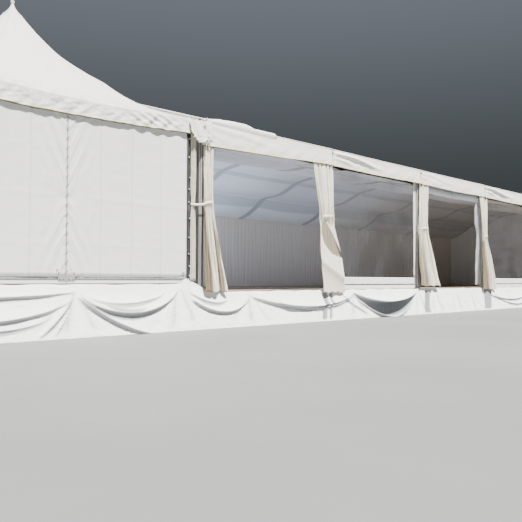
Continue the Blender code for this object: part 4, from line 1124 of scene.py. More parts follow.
@dataclass(frozen=True)
class HallCovers(Assembly):
    """Roof slopes, eave flaps, gables and rear wall of the long hall."""

    eave: float = 3.13
    overhang: float = 0.05
    verge: float = 0.015
    drop: float = 0.285
    hem: float = 0.034
    cord: float = 0.011
    gate: Pair = (0.624, 2.88)

    def build_roof(self) -> None:
        """Two roof slopes with a soft sag in each bay and a raised welt over each frame.

        Height above the rafters' plane = thickness - sag * sin^2(pi * bay share) * sin(pi * v)
        + welt * bell of the distance to the nearest frame + a fine crumple.
        """
        start, end = LEG_X[0] - HALF_LEG - self.verge, LEG_X[-1] + HALF_LEG + self.verge
        u, v = mesh_grid(44, 361)
        x = start + (end - start) * u
        run = -self.overhang + (3 + self.overhang) * v
        share = np.mod(x - LEG_X[0], 3) / 3
        nearest = minimum(share, 1 - share) * 3
        sag = 0.022 * sin(math.pi * share) ** 2 * sin(math.pi * v) * ramp(nearest, 0.05, 0.4)
        welt = 0.005 * bell(nearest, 0, 0.035)
        soil = 0.4 * bell(v, 0, 0.08) + 0.3 * bell(nearest, 0, 0.05)
        for name, sign, seed in (("front", 1, 300), ("rear", -1, 310)):
            fade = ramp(nearest, 0.05, 0.3) * ramp(1 - v, 0, 0.05)
            lift = (0.021 + welt - sag + 0.004 * Crumple(seed, 0.9)(x, run) * fade) / math.cos(PITCH)
            points = stack(x, sign * (run - 3), self.eave + run * math.tan(PITCH) + lift)
            uv = stack(x - LEG_X[0], run)
            slope = Piece(f"hall_roof_{name}_sheets").grid(points, uv, sign < 0, soil=soil)
            hang(
                slope, "hall_roof", (18.12, 3.22),
                (f"roof_{name}_slope",), 0.018,
            )

    def build_valances(self) -> None:
        """Eave flaps of both sides, one for each bay."""
        for name, sign in (("front", 1), ("rear", -1)):
            piece = Piece(f"hall_valance_{name}")
            for bay in range(6):
                self.valance(piece, bay, sign)
            hang(
                piece, "valance", (18.09, 0.31),
                (f"valance_{name}",), 0.0018,
            )

    def valance(self, piece: Piece, bay: int, sign: float) -> None:
        """Eave flap of one bay: sagging hem, slanted drag folds, pale hem and dark cord.

        Drop below the eave = drop + extra, which is a lean from the bay's left leg to its right
        plus a sag of a squared sine. The depth is a crumple in slanted coordinates, two drag
        folds, and upright gathers at both legs. Each drag fold is a bell about a line that runs
        down to the right from the upper left corner, strong in every second bay.

        Args:
            piece: The piece that takes the flap.
            bay: Number of the bay, from 0.
            sign: 1 on the front side and -1 on the rear side.
        """
        first = LEG_X[bay] - (HALF_LEG if bay == 0 else 0)
        last = LEG_X[bay + 1] + (HALF_LEG if bay == 5 else 0)
        edge = linspace(0, 0.05, 14)
        places = np.concatenate([edge, linspace(0.05, 0.95, 82)[1:-1], 1 - edge[::-1]])
        s, depth = np.meshgrid(places, rows_with_hem(self.drop, 30, self.hem, self.cord)[::-1])
        share = depth / self.drop
        x = first + 0.004 + (last - first - 0.008) * s
        seed = 330 + bay + (20 if sign < 0 else 0)
        away = x - first
        ends = minimum(away, last - x)
        slant = Crumple(seed, 0.9, 0.7)(x + 1.5 * depth, 1.2 * depth)
        short = Crumple(seed + 40, 0.26)(x + 0.8 * depth, depth)
        pull = 0.050 if bay % 2 else 0.012
        drag = 0
        for level, height, width, end in ((0.040, 1, 0.040, 1.8), (0.125, 0.5, 0.035, 1)):
            line = level + 0.115 * ramp(away, 0, end) + 0.010 * sin(5 * away + bay)
            fade = ramp(away, 0, 0.15) * ramp(end - away, 0, 0.9)
            drag = drag + pull * height * bell(depth, line, width) * fade
        gather = 0.012 * sin(TAU * ends / 0.045) * bell(ends, 0, 0.10)
        out = (0.006 + 0.008 * share + 0.008 * slant + 0.003 * short) * ramp(share, 0, 0.7)
        out = out + gather * ramp(share, 0, 0.2) + drag * ramp(share, 0, 0.15)
        lean = 0.112 if bay == 0 else 0.010
        extra = lean * (1 - s) ** 1.3 + 0.016 * sin(math.pi * s) ** 2
        extra = extra + 0.003 * Crumple(seed + 80, 0.7)(x, 0 * x)
        points = stack(x, sign * (FRONT_Y - 0.047 - maximum(out, 0)), 3.1145 - depth - extra * share)
        soil = 0.35 * bell(share, 0.95, 0.20) + 0.35 * bell(ends, 0, 0.04)
        marks = hem_marks(depth, self.drop, self.hem, self.cord)
        piece.grid(points, stack(x, depth), sign < 0, soil=soil, **marks)

    def build_valance_ends(self) -> None:
        """Short rope ends and eyelets where two eave flaps meet at a leg."""
        ropes, eyes = Piece("valance_rope_ends"), Piece("valance_eyelets")
        t = linspace(0, 1, 10)
        for sign in (1, -1):
            y = sign * (FRONT_Y - 0.066)
            for x in LEG_X[1:-1]:
                for z, length, lean in ((2.835, 0.055, 0.012), (3.085, 0.045, -0.010)):
                    path = stack(x + lean * t, y - sign * 0.006 * sin(math.pi * t), z - length * t)
                    ropes.tubes([path], 0.009, 6)
                    eyes.tubes(rings(x + 0.035, y, z - 0.004, 0.014), 0.0025, 5)
        # the near-black rope ends are partly a painted shade of the openings where the flaps meet
        ropes.make("dark")
        eyes.make("steel")

    def wall(self, name: str, node: str, runs: list[tuple], seed: int) -> None:
        """A flat wall or gable of coated cloth with broad crumples.

        Args:
            name: Name of the piece.
            node: CAD node that it stands for.
            runs: Grids, each as start and end corner in plan, foot height and head heights.
            seed: Seed of the crumples.
        """
        piece = Piece(name)
        area = 0
        for start, end, foot, head in runs:
            start, end = array(start), array(end)
            length = float(np.linalg.norm(end - start))
            u, v = mesh_grid(48, max(8, int(length * 12)))
            top = head(start[1] + (end[1] - start[1]) * u) if callable(head) else head
            z = foot + (top - foot) * v
            walked = u * length
            ease = ramp(minimum(u, 1 - u) * length, 0, 0.15) * ramp(minimum(v, 1 - v), 0, 0.06)
            depth = 0.012 * Crumple(seed, 1.2)(walked, z) + 0.004 * Crumple(seed + 1, 0.3)(walked, z)
            x, y = placed(start, end, walked, np.abs(depth) * ease)
            piece.grid(stack(x, y, z), stack(walked, z), soil=0.5 * bell(z, foot, 0.15))
            area += length * float(np.mean(top) - foot)
        width = round(sum(abs(r[1][0] - r[0][0]) + abs(r[1][1] - r[0][1]) for r in runs), 2)
        flat = (width, round(area / width, 2))
        hang(piece, "wall", flat, (node,), 0.0015)

    def crown(self, y: Array) -> Array:
        """Height of a gable's upper edge."""
        return self.eave + (3 - np.abs(y)) * math.tan(PITCH) - 0.002

    def build_walls(self) -> None:
        """Rear wall and both gables, the left one open towards the high-peak tent."""
        low, rear = high_of("hall_floor")[2], REAR_Y + 0.011
        left, right = low_of("gable_left")[0], high_of("gable_right")[0]
        edge, lintel = self.gate
        back = ((LEG_X[-1] + HALF_LEG, rear), (LEG_X[0] - HALF_LEG, rear), low, 3.065)
        self.wall("hall_rear_wall", "rear_wall", [back], 400)
        self.wall("hall_gable_right", "gable_right", [((right, -3), (right, 3), low, self.crown)], 410)
        runs = [((left, 3), (left, edge), low, self.crown), ((left, edge), (left, -3), lintel, self.crown)]
        self.wall("hall_gable_left", "gable_left", runs, 420)


@dataclass(frozen=True)
class Windows(Assembly):
    """Clear foil windows with coated surrounds, laced edges, and windows rolled up to the eave."""

    closed: tuple[int, ...] = (2, 4, 6)
    rolled: tuple[int, ...] = (3, 5)
    floor: float = 0.54
    head: float = 3.0
    y: float = -2.95
    roll_y: float = -2.945
    roll_z: float = 2.765

    def span(self, bay: int) -> Pair:
        """Clear width of a bay, counted from 1."""
        return LEG_X[bay - 1] + HALF_LEG, LEG_X[bay] - HALF_LEG

    def build_foils(self) -> None:
        """Foil sheets: slack between the legs, with upright pleats near the right-hand leg.

        Depth = broad crumple + pleat * sin of the distance to the right leg, fading leftwards.
        """
        u, v = mesh_grid(80, 140)
        for bay in self.closed:
            start, end = self.span(bay)
            x = start + 0.05 + (end - start - 0.10) * u
            z = self.floor + 0.235 + (self.head - self.floor - 0.30) * v
            ease = ramp(minimum(v, 1 - v), 0, 0.08) * ramp(u, 0, 0.05)
            broad = 0.022 * Crumple(500 + bay, 1.4)(x, 0.6 * z)
            away = end - x
            pleats = 0.012 * sin(TAU * away / 0.13 + 0.4 * z) * bell(away, 0.12, 0.28)
            # painted highlight: glints along the pleats near the right-hand leg, carried by the shade mark
            painted_glint = 0.30 * bell(np.mod(away + 0.03 * z, 0.13), 0.065, 0.012) * bell(away, 0.15, 0.2)
            points = stack(x, self.y - 0.005 - (broad + pleats) * ease, z)
            hang(
                Piece(f"window_foil_{bay}").grid(points, shade=painted_glint), "foil",
                (2.82, 2.17), (f"window_bay_{bay}",), 0,
            )

    def build_surrounds(self) -> None:
        """Coated cloth round each foil: hem bands at the foot, side strips and a head strip."""
        piece = Piece("window_surrounds")
        low, sill, top = self.floor, self.floor + 0.24, self.head - 0.07
        for bay in self.closed:
            start, end = self.span(bay)
            bands = (
                (start, end, low + 0.10, sill, 0.008), (start, end, low + 0.003, low + 0.082, 0.014),
                (start, end, top, self.head, 0.006), (start, start + 0.055, sill, top, 0.004),
                (end - 0.105, end - 0.008, sill, top, 0.012),
            )
            for index, (x0, x1, z0, z1, out) in enumerate(bands):
                u, v = mesh_grid(24 if z1 - z0 > 1 else 8, 60 if x1 - x0 > 1 else 8)
                x, z = x0 + (x1 - x0) * u, z0 + (z1 - z0) * v
                wave = 0.005 * Crumple(520 + 10 * bay + index, 0.5)(x, z)
                piece.grid(stack(x, self.y - out - np.abs(wave), z), stack(x, z), soil=0.15)
        piece.make("strip", thickness=0.0015)

    def build_laced_edges(self) -> None:
        """Rope lacing down the right-hand strip of each window, over small eyelets."""
        step = linspace(0, 1, 9)
        levels = np.arange(self.floor + 0.15, self.head - 0.2, 0.15)
        rope, eyes = Piece("window_lacing_rope"), Piece("window_lacing_eyelets")
        for bay in self.closed:
            middle = self.span(bay)[1] - 0.045
            out = self.y - 0.022 - 0.004 * sin(math.pi * step)
            rope.tubes(stack(middle + 0.010 * sin(TAU * step), out, levels[:, None] + 0.15 * step), 0.0035, 6)
            eyes.tubes(rings(middle, self.y - 0.0185, levels, 0.010, 8), 0.0025, 5)
        rope.make("rope")
        eyes.make("steel")

    def build_rolls(self) -> None:
        """Rolled windows: a spiral of foil with a tail up to the beam, and cloth straps round it.

        The section's radius shrinks by a tenth per turn, and it wavers along the roll.
        """
        straps = Piece("rolled_window_straps")
        u, v = mesh_grid(84, 90)
        s, a = np.meshgrid(array([-0.019, 0.019]), linspace(0, TAU, 25))
        turn = clip((u - 0.12) / 0.88, 0, 1)
        angle = math.pi / 2 - TAU * 2.6 * turn
        for bay in self.rolled:
            start, end = self.span(bay)
            x = start + 0.03 + (end - start - 0.06) * v
            waver = 1 + 0.10 * Crumple(560 + bay, 0.5)(x, 1.5 * u) + 0.04 * Crumple(570 + bay, 0.12)(x, 3 * u)
            radius = (1 - 0.28 * turn) * waver
            middle = self.roll_z - 0.020 * sin(math.pi * (x - start) / (end - start)) ** 2
            y = where(u < 0.12, self.roll_y, self.roll_y - 0.048 * radius * cos(angle))
            tail = self.head + (middle + 0.076 - self.head) * clip(u / 0.12, 0, 1)
            z = where(u < 0.12, tail, middle + 0.076 * radius * sin(angle))
            hang(
                Piece(f"rolled_window_sheet_{bay}").grid(stack(x, y, z), flip=True, soil=0.15), "rolled",
                (2.84, 1.35), (f"rolled_window_{bay}",), 0.0012,
            )
            for place in (start + 0.32, (start + end) / 2, end - 0.32):
                drop = 0.020 * math.sin(math.pi * (place - start) / (end - start)) ** 2
                band = stack(place + s, self.roll_y + 0.056 * cos(a), self.roll_z - drop + 0.088 * sin(a))
                straps.grid(band, flip=True, soil=0.4)
        straps.make("strip", thickness=0.003)


@dataclass(frozen=True)
class Lining(Assembly):
    """Swagged ceiling lining under the rafters, and the pleated lining of the rear wall."""

    away: Levels = (0.112, 0.30, 0.55, 0.90, 1.07, 1.40, 1.78, 2.09, 2.35, 2.60, 2.89, 3.0)
    front: Levels = (2.84, 2.86, 2.93, 2.99, 3.02, 3.01, 3.05, 3.18, 3.29, 3.33, 3.36, 3.38)
    rear: Levels = (2.505, 2.56, 2.65, 2.86, 3.00, 3.01, 3.05, 3.18, 3.29, 3.33, 3.36, 3.38)
    cords: Pair = (1.07, 2.35)
    # bands of painted shadow along the cords (start, end, strength), then the half width of the band about
    # each rib, where the cloth is held close and painted shadow falls
    bands: tuple[Triple, ...] = ((0.78, 1.07, 0.46), (2.27, 2.42, 0.52))
    rib_band: float = 0.15
    rib_shifts: Levels = (-0.1, 0.45, 0.0, -0.3, -0.4, -0.4, 0.1)

    def build_ceiling(self) -> None:
        """Ceiling cloth of each slope, in swags between lengthwise cords and crosswise ribs.

        In section it follows the measured swags, which run almost level from each cord and then
        rise steeply to the next. The ribs lie a little aside of the frames, and between them it
        sags by a power of a sine of the share of their distance. Near each rib the cloth hangs
        close under it. Painted shadows of the rafters and purlins seen through the cloth darken a
        band about each rib and bands along the cords, a light painted shade darkens the upper
        part of each slope, and the hem mark paints a warm shade that grows towards the far gable.
        """
        u, v = mesh_grid(84, 541)
        down = self.away[0] + (self.away[-1] - 0.004 - self.away[0]) * v
        x = LEG_X[0] - HALF_LEG + (LEG_X[-1] - LEG_X[0] + 2 * HALF_LEG) * u
        ribs = LEG_X + array(self.rib_shifts)
        cell = clip(np.searchsorted(ribs, x) - 1, 0, len(ribs) - 2)
        span = ribs[cell + 1] - ribs[cell]
        share = clip((x - ribs[cell]) / span, 0, 1)
        nearest = minimum(share, 1 - share) * span
        free = ramp(down, 0.12, 0.5) * ramp(3 - down, 0, 0.2)
        held = bell(down, self.cords[0], 0.14) + bell(down, self.cords[1], 0.14)
        belly = 0.055 * minimum(span / 3, 1) * sin(math.pi * share) ** 0.8 * free * (1 - 0.6 * held)
        gathers = 0.0012 * sin(TAU * x / 0.105 + 1.5 * Crumple(600, 0.8)(x, down)) * ramp(nearest, 0.1, 0.2)
        slack = 0.006 * Crumple(601, 0.9)(x, down) * free * ramp(nearest, 0.1, 0.4)
        rib_band = bell(nearest, 0, self.rib_band) ** 2
        sag = (belly + gathers * (0.3 + 0.7 * free) + slack) * (1 - rib_band) + 0.025 * rib_band
        # painted shadow over each rib, and a light painted shade over the upper part of the slope
        shade = maximum(0.78 * ramp(0.7 * self.rib_band - nearest, -0.02, 0.02), 0.26 * ramp(down, 1, 1.3))
        # painted shadows along the cords, with darker lines at their edges
        for start, end, depth in self.bands:
            inside = ramp(down, start - 0.012, start) * (1 - ramp(down, end, end + 0.012))
            lines = bell(down, start, 0.014) + bell(down, end, 0.014)
            shade = maximum(shade, depth * clip(inside + 0.35 * lines, 0, 1.3))
        # painted warm shade towards the far gable, carried by the hem mark
        painted_shade_tint = 0.75 * ramp(x, 0.6, 4.6)
        for name, sign, level in (("front", 1, self.front), ("rear", -1, self.rear)):
            height = smoothed(np.interp(down[:, 0], self.away, level), 7)[:, None]
            points = stack(x, sign * (down - 3), height - sag)
            piece = Piece(f"ceiling_lining_{name}")
            piece.grid(points, stack(x, down), sign > 0, shade=shade, hem=painted_shade_tint)
            hang(
                piece, "ceiling", (18.9, 3.3),
                (f"roof_lining_{name}",), 0,
            )

    def build_rear(self) -> None:
        """Rear wall cloth in soft pleats.

        Depth = pleat * sin(2 pi x / 0.13 + wander) + pleat * sin(2 pi x / 0.31 + 2 wander), a
        little less of it towards the head.
        """
        low, high = low_of("rear_wall_lining"), high_of("rear_wall_lining")
        u, v = mesh_grid(16, 1201)
        x = low[0] + (high[0] - low[0]) * u
        z = low[2] + 0.005 + (high[2] + 0.02 - low[2]) * v
        wander = 2.2 * Crumple(610, 0.9)(x, 0.15 * z)
        depth = 0.006 * sin(TAU * x / 0.13 + wander) + 0.006 * sin(TAU * x / 0.31 + 2 * wander)
        points = stack(x, low[1] + 0.008 - depth * (0.6 + 0.4 * (1 - v)), z)
        # painted shade under the head, and a warm painted shade towards the far gable, carried by the hem
        # mark
        shade, painted_shade_tint = 0.25 * bell(v, 1, 0.03), 0.75 * ramp(x, 2.5, 8)
        hang(
            Piece("rear_wall_drape").grid(points, shade=shade, hem=painted_shade_tint), "drape",
            cut_size(points), ("rear_wall_lining",), 0,
        )


@dataclass(frozen=True)
class TiedCurtain:
    """Shape of one tied-back curtain: its two sides, as offsets from its leg, at three levels."""

    head: Pair
    tie: Pair
    hem: Pair
    foot: float = 0.50
    folds: int = 5
    level: float = 1.88
    # opening: share across where a fold opens in a hollow with painted shade; turned: reach and fade of the
    # painted shade on the left side below the tie
    opening: float = 0.60
    turned: Pair = (0.0, 0.0)

    def rows(self) -> Array:
        """Key sections from the foot up: height, left side, right side, outer and inner depth."""
        tie, head, hem = array(self.tie), array(self.head), array(self.hem)
        sections = (
            (self.foot, hem, 1, 0.205, 0.118), (0.80, hem, 0.80, 0.205, 0.080),
            (1.19, hem, 0.53, 0.170, 0.040),
            (self.level - 0.11, hem, 0.06, 0.118, 0.006), (self.level, hem, 0, 0.098, 0.006),
            (self.level + 0.11, head, 0.05, 0.115, 0.006), (2.35, head, 0.40, 0.090, 0.004),
            (2.74, head, 0.78, 0.066, 0.004), (3.065, head, 1, 0.044, 0.002),
        )
        return array([[z, *(tie + share * (end - tie)), out, back] for z, end, share, out, back in sections])


TIED = (
    TiedCurtain((0.02, 0.22), (0.005, 0.17), (-0.02, 0.41), 0.54, 3, 1.88, 0.72, (0.40, 0.16)),
    TiedCurtain((-0.54, 0.06), (-0.34, 0), (-0.36, 0.23), 0.50, 5),
    TiedCurtain((0.01, 0.38), (-0.08, 0.25), (-0.15, 0.62), 0.60, 4, 1.86, 0.16, (0.66, 0.50)),
    TiedCurtain((-0.26, 0.20), (-0.12, 0.08), (-0.30, 0.40), 0.50, 4, 1.84, 0.40, (0.58, 0.12)),
    TiedCurtain((-0.30, 0.12), (-0.11, 0.09), (-0.16, 0.42)),
    TiedCurtain((-0.28, 0.16), (-0.11, 0.09), (-0.18, 0.42)),
    TiedCurtain((-0.23, -0.02), (-0.19, -0.01), (-0.42, 0.02), 0.52, 5),
)


@dataclass(frozen=True)
class Curtains(Assembly):
    """Gathered curtains tied back to the legs, thin inner curtains, and the narrow gap curtain."""

    lens_levels: Levels = (1.13, 1.19, 1.33, 1.45, 1.57, 1.71, 1.85)
    lens_left: Levels = (0.17, -0.06, -0.24, -0.31, -0.34, -0.33, -0.31)
    lens_right: Levels = (0.23, 0.21, 0.13, 0.05, -0.02, -0.13, -0.27)
    drooping: int = 1
    strap_z: float = 1.83

    def hollow(self, offset: Array, z: Array) -> Array:
        """Mask of the hollow in the drooping curtain: 1 between its two measured edges, else 0."""
        left = np.interp(z, self.lens_levels, self.lens_left)
        right = np.interp(z, self.lens_levels, self.lens_right)
        low, high = self.lens_levels[0], self.lens_levels[-1]
        inside = ramp(offset - left, 0, 0.022) * ramp(right - offset, 0, 0.022)
        return inside * ramp(z, low, low + 0.03) * ramp(high - z, 0, 0.03)

    def sheet(self, index: int, seed: int) -> tuple[Array, Array]:
        """Grid of one gathered curtain and its shade mark.

        With n folds and u from 0 to 1 across the cloth, phase = 2 pi n u + wander, s = u +
        sin(phase) / (8 pi n), x = left + (right - left) * s and y = middle - depth * crest, where
        crest = 2 * |sin(phase / 2)|^0.8 - 1. The sides and depths are those of the key sections,
        joined over the height by a running mean. The shade mark is painted shade in the folds'
        hollows. Below its tie a curtain opens in one hollow darkened by painted shade, and a
        painted shade darkens a strip along its left side, as wide as turned gives. The drooping
        curtain has instead a slack front layer, with a swelling, a hollow above its edge darkened
        by painted shade and a painted shadow below it.

        Args:
            index: Number of the leg, from 0.
            seed: Seed of the wander.

        Returns:
            The points and the painted shade of the folds' hollows.
        """
        shape = TIED[index]
        rows = shape.rows()
        u, v = mesh_grid(120, shape.folds * 32 + 1) if index < 4 else mesh_grid(84, shape.folds * 20 + 1)
        z = rows[0, 0] + (rows[-1, 0] - rows[0, 0]) * v
        keys = (np.interp(z[:, 0], rows[:, 0], key) for key in rows.T[1:])
        left, right, out, back = (smoothed(key, 11)[:, None] for key in keys)
        wander = 0.9 * Crumple(seed, 1.1)(z, 3 * u) + 1.4 * Crumple(seed + 1, 0.5)(3 * u, 0.1 * z)
        phase = TAU * shape.folds * u + wander
        crest = 2 * np.abs(sin(phase / 2)) ** 0.8 - 1 + 0.05 * sin(3 * phase + 2)
        s = u + 0.25 / (TAU * shape.folds) * sin(phase)
        squeeze = bell(z, shape.level, 0.10)
        below = shape.level - z
        depth = (out - back) / 2 * (0.70 + 0.20 * squeeze)
        uneven = 1 - 0.45 * (0.5 + 0.5 * sin(phase * 0.5 + 1)) * (1 - squeeze)
        offset = left + (right - left) * s
        droops = index == self.drooping
        calm = 1 - 0.85 * ramp(below - 0.06, 0, 0.15) if droops else 1
        y = FRONT_Y - (out + back) / 2 - depth * calm * uneven * clip(crest, -1, 1)
        hem = 0.012 * sin(0.7 * phase) * bell(v, 0, 0.08)
        # painted shade in the folds' hollows, less at the tie
        shade = 0.72 * ramp(-crest, 0.1, 0.95) * (1 - 0.4 * squeeze) + 0.05 * squeeze
        if droops:
            offset = offset + bell(z, 1.15, 0.40) * (0.11 * s - 0.04)
            # hollow above the slack edge: set back, with its side walls darkened by painted shade
            inside = self.hollow(offset, z)
            y = where(inside > 0, y + inside * (FRONT_Y - 0.075 - 0.006 * sin(phase) - y), y)
            gap = z - (1.07 - 0.5 * (offset + 0.36))
            swell = where(gap > 0, exp(-np.abs(gap) / 0.12), exp(-((gap / 0.08) ** 2)))
            y = y - 0.022 * swell * (1 - inside)
            # painted shadow below the slack edge
            fallen = 0.78 * ramp(-gap, 0, 0.10) * exp(-np.abs(gap) / 0.22)
            shade = maximum(maximum(shade * calm, fallen), 0.84 * clip(6 * inside, 0, 1))
        else:
            # a fold opens in a hollow: set back, and darkened by painted shade
            inner = bell(u, shape.opening, 0.09 + 0.04 * ramp(below, 0, 1.2)) * ramp(below - 0.08, 0, 0.6)
            y = y + 0.05 * inner
            # painted shade along the left side below the tie
            reach, fade = shape.turned
            side_shade = ramp(reach * (0.5 + 0.5 * ramp(below, 0.2, 1.2)) - u, 0, fade + 0.01)
            side_shade = side_shade * ramp(below - 0.03, 0, 0.15)
            shade = maximum(maximum(shade, 0.86 * clip(1.6 * inner, 0, 1)), 0.96 * side_shade)
        return stack(LEG_X[index] + offset, y, z + hem), shade

    def build_main(self) -> None:
        """One tied-back curtain at each leg, with its tie band."""
        ties = Piece("curtain_ties")
        a, s = np.meshgrid(linspace(0, TAU, 41), linspace(-0.022, 0.022, 5))
        bulge = 0.004 * cos(s / 0.022 * math.pi / 2)
        for index, shape in enumerate(TIED):
            points, shade = self.sheet(index, 700 + 3 * index)
            hang(
                Piece(f"tied_curtain_{index + 1}").grid(points, shade=shade, soil=0.15), "curtain",
                cut_size(points), (f"curtain_{index + 1}",), 0.0012,
            )
            half = (shape.tie[1] - shape.tie[0]) / 2
            x = LEG_X[index] + (shape.tie[0] + shape.tie[1]) / 2 + (half * 0.92 + bulge) * cos(a)
            y = FRONT_Y - 0.054 + (0.056 + bulge) * sin(a)
            ties.grid(stack(x, y, shape.level + s + 0.010 * cos(a)), soil=0.15)
        ties.make("strip", thickness=0.003, slot="curtain_cloth")

    def build_sheers(self) -> None:
        """Thin white curtains that hang to the left of the fourth and sixth legs, behind the main ones.

        The left side wavers with the height, and fine folds run down as sines across the width.
        """
        left, right, foot, head = -0.30, -0.02, 0.62, 2.98
        u, v = mesh_grid(60, 91)
        z = foot + (head - foot) * v
        side = left + 0.06 * bell(z, 1.85, 0.20) + 0.03 * sin(4.5 * z + 1) + 0.01 * sin(17 * z)
        for index in (3, 5):
            fold = sin(TAU * 7 * u + 1.3 * Crumple(740 + index, 0.8)(z, u))
            points = stack(LEG_X[index] + side + (right - side) * u, FRONT_Y + 0.055 - 0.014 * fold, z)
            # painted shade in the folds' hollows
            hang(
                Piece(f"thin_curtain_{index + 1}").grid(points, shade=0.6 * ramp(-fold, 0.2, 1)),
                "sheer", cut_size(points), (), 0,
            )

    def build_gap(self) -> None:
        """Narrow pleated curtain in the slot between the tents, with a strap round it."""
        low, high = low_of("gap_curtain"), high_of("gap_curtain")
        centre = (low + high) / 2
        u, v = mesh_grid(60, 61)
        z = low[2] + 0.004 + (high[2] - low[2] - 0.006) * v
        pinch = 1 - 0.30 * bell(z, self.strap_z, 0.16)
        fold = sin(TAU * 3.5 * u + 0.8 * Crumple(760, 0.7)(z, 0.3 * u))
        x = centre[0] + (u - 0.5) * (high[0] - low[0]) * 0.94 * pinch
        points = stack(x, centre[1] - 0.016 * fold * pinch, z)
        # painted shade in the folds' hollows
        hang(
            Piece("slot_curtain").grid(points, shade=0.5 * ramp(-fold, 0, 1), soil=0.2), "curtain",
            cut_size(points), ("gap_curtain",), 0.0012,
        )
        strap = Piece("slot_curtain_strap")
        edges = array([-0.018, 0.018])
        a, s = np.meshgrid(linspace(0, TAU, 25), edges)
        strap.grid(stack(centre[0] + 0.040 * cos(a), centre[1] + 0.022 * sin(a), self.strap_z + s))
        t, s = np.meshgrid(linspace(0, 1, 30), edges)
        reach = LEG_X[0] + 0.03 - centre[0]
        sag = 0.012 * sin(math.pi * t)
        y, z = centre[1] - 0.034 - 0.045 * t - 0.5 * sag, self.strap_z + 0.03 * t - sag + s
        strap.grid(stack(centre[0] + reach * t, y, z))
        strap.make("strip", thickness=0.003, slot="curtain_cloth")


@dataclass(frozen=True)
class Lip:
    """Lower lip of one swag fold: its two ends, as distance along the run and height, and its sag."""

    start: Pair
    end: Pair
    sag: float
    depth: float = 0.045
    above: float = 0.10
    power: float = 0.75
    # dark and under: strength and reach of the painted shadow below the lip
    dark: float = 0.62
    under: float = 0.05
    scoop: float = 0.0

    @classmethod
    def seen(cls, zero: float, x0: float, z0: float, x1: float, z1: float, *more: float) -> "Lip":
        """A lip whose ends are given by their X, on a run that starts at the X of zero."""
        return cls((x0 - zero, z0), (x1 - zero, z1), *more)

    def line(self, walked: Array) -> tuple[Array, Array]:
        """Height of the lip along the run, and its bow: 0 at both ends and 1 in the middle."""
        s = clip((walked - self.start[0]) / (self.end[0] - self.start[0]), 0, 1)
        bow = 4 * s * (1 - s)
        return self.start[1] + (self.end[1] - self.start[1]) * s - self.sag * bow**self.power, bow

    def hollow(self, walked: Array, z: Array) -> Array:
        """Mask of the hollow below the lip, which reaches further down in the middle."""
        line, bow = self.line(walked)
        gap = line - z
        reach = self.under * bow + 0.001
        # dark times this mask is the painted shadow below the lip; the run's scoop follows it too
        return self.dark * ramp(gap, -0.004, 0.012) * (1 - ramp(gap, reach, reach + 0.03)) * bow**0.25

    def height(self, walked: Array, z: Array) -> Array:
        """How far the fold stands out: it decays slowly above the lip's line and steeply below it."""
        line, bow = self.line(walked)
        gap = z - line
        up = exp(-maximum(gap, 0) / self.above)
        down = exp(-((maximum(-gap, 0) / 0.020) ** 1.5))
        return self.depth * where(gap > 0, up, down) * bow**0.5


def swags(posts: Levels, head: float, seed: int) -> tuple[Lip, ...]:
    """Two or three nested lips between each pair of gather points, below the run's upper edge."""
    draw = np.random.default_rng(seed)
    made = []
    for left, right in zip(posts, posts[1:]):
        top = head - 0.04
        for share in draw.permutation([0.38, 0.62, 0.88])[: draw.integers(2, 4)]:
            shift = draw.uniform(0, 0.15) * (right - left)
            start = (left + shift * (draw.random() < 0.4), top - 0.05 * share)
            end = (right - shift * (draw.random() < 0.4), top - 0.05 * share)
            made.append(Lip(start, end, share * (head - 0.10), draw.uniform(0.030, 0.055)))
    return tuple(made)


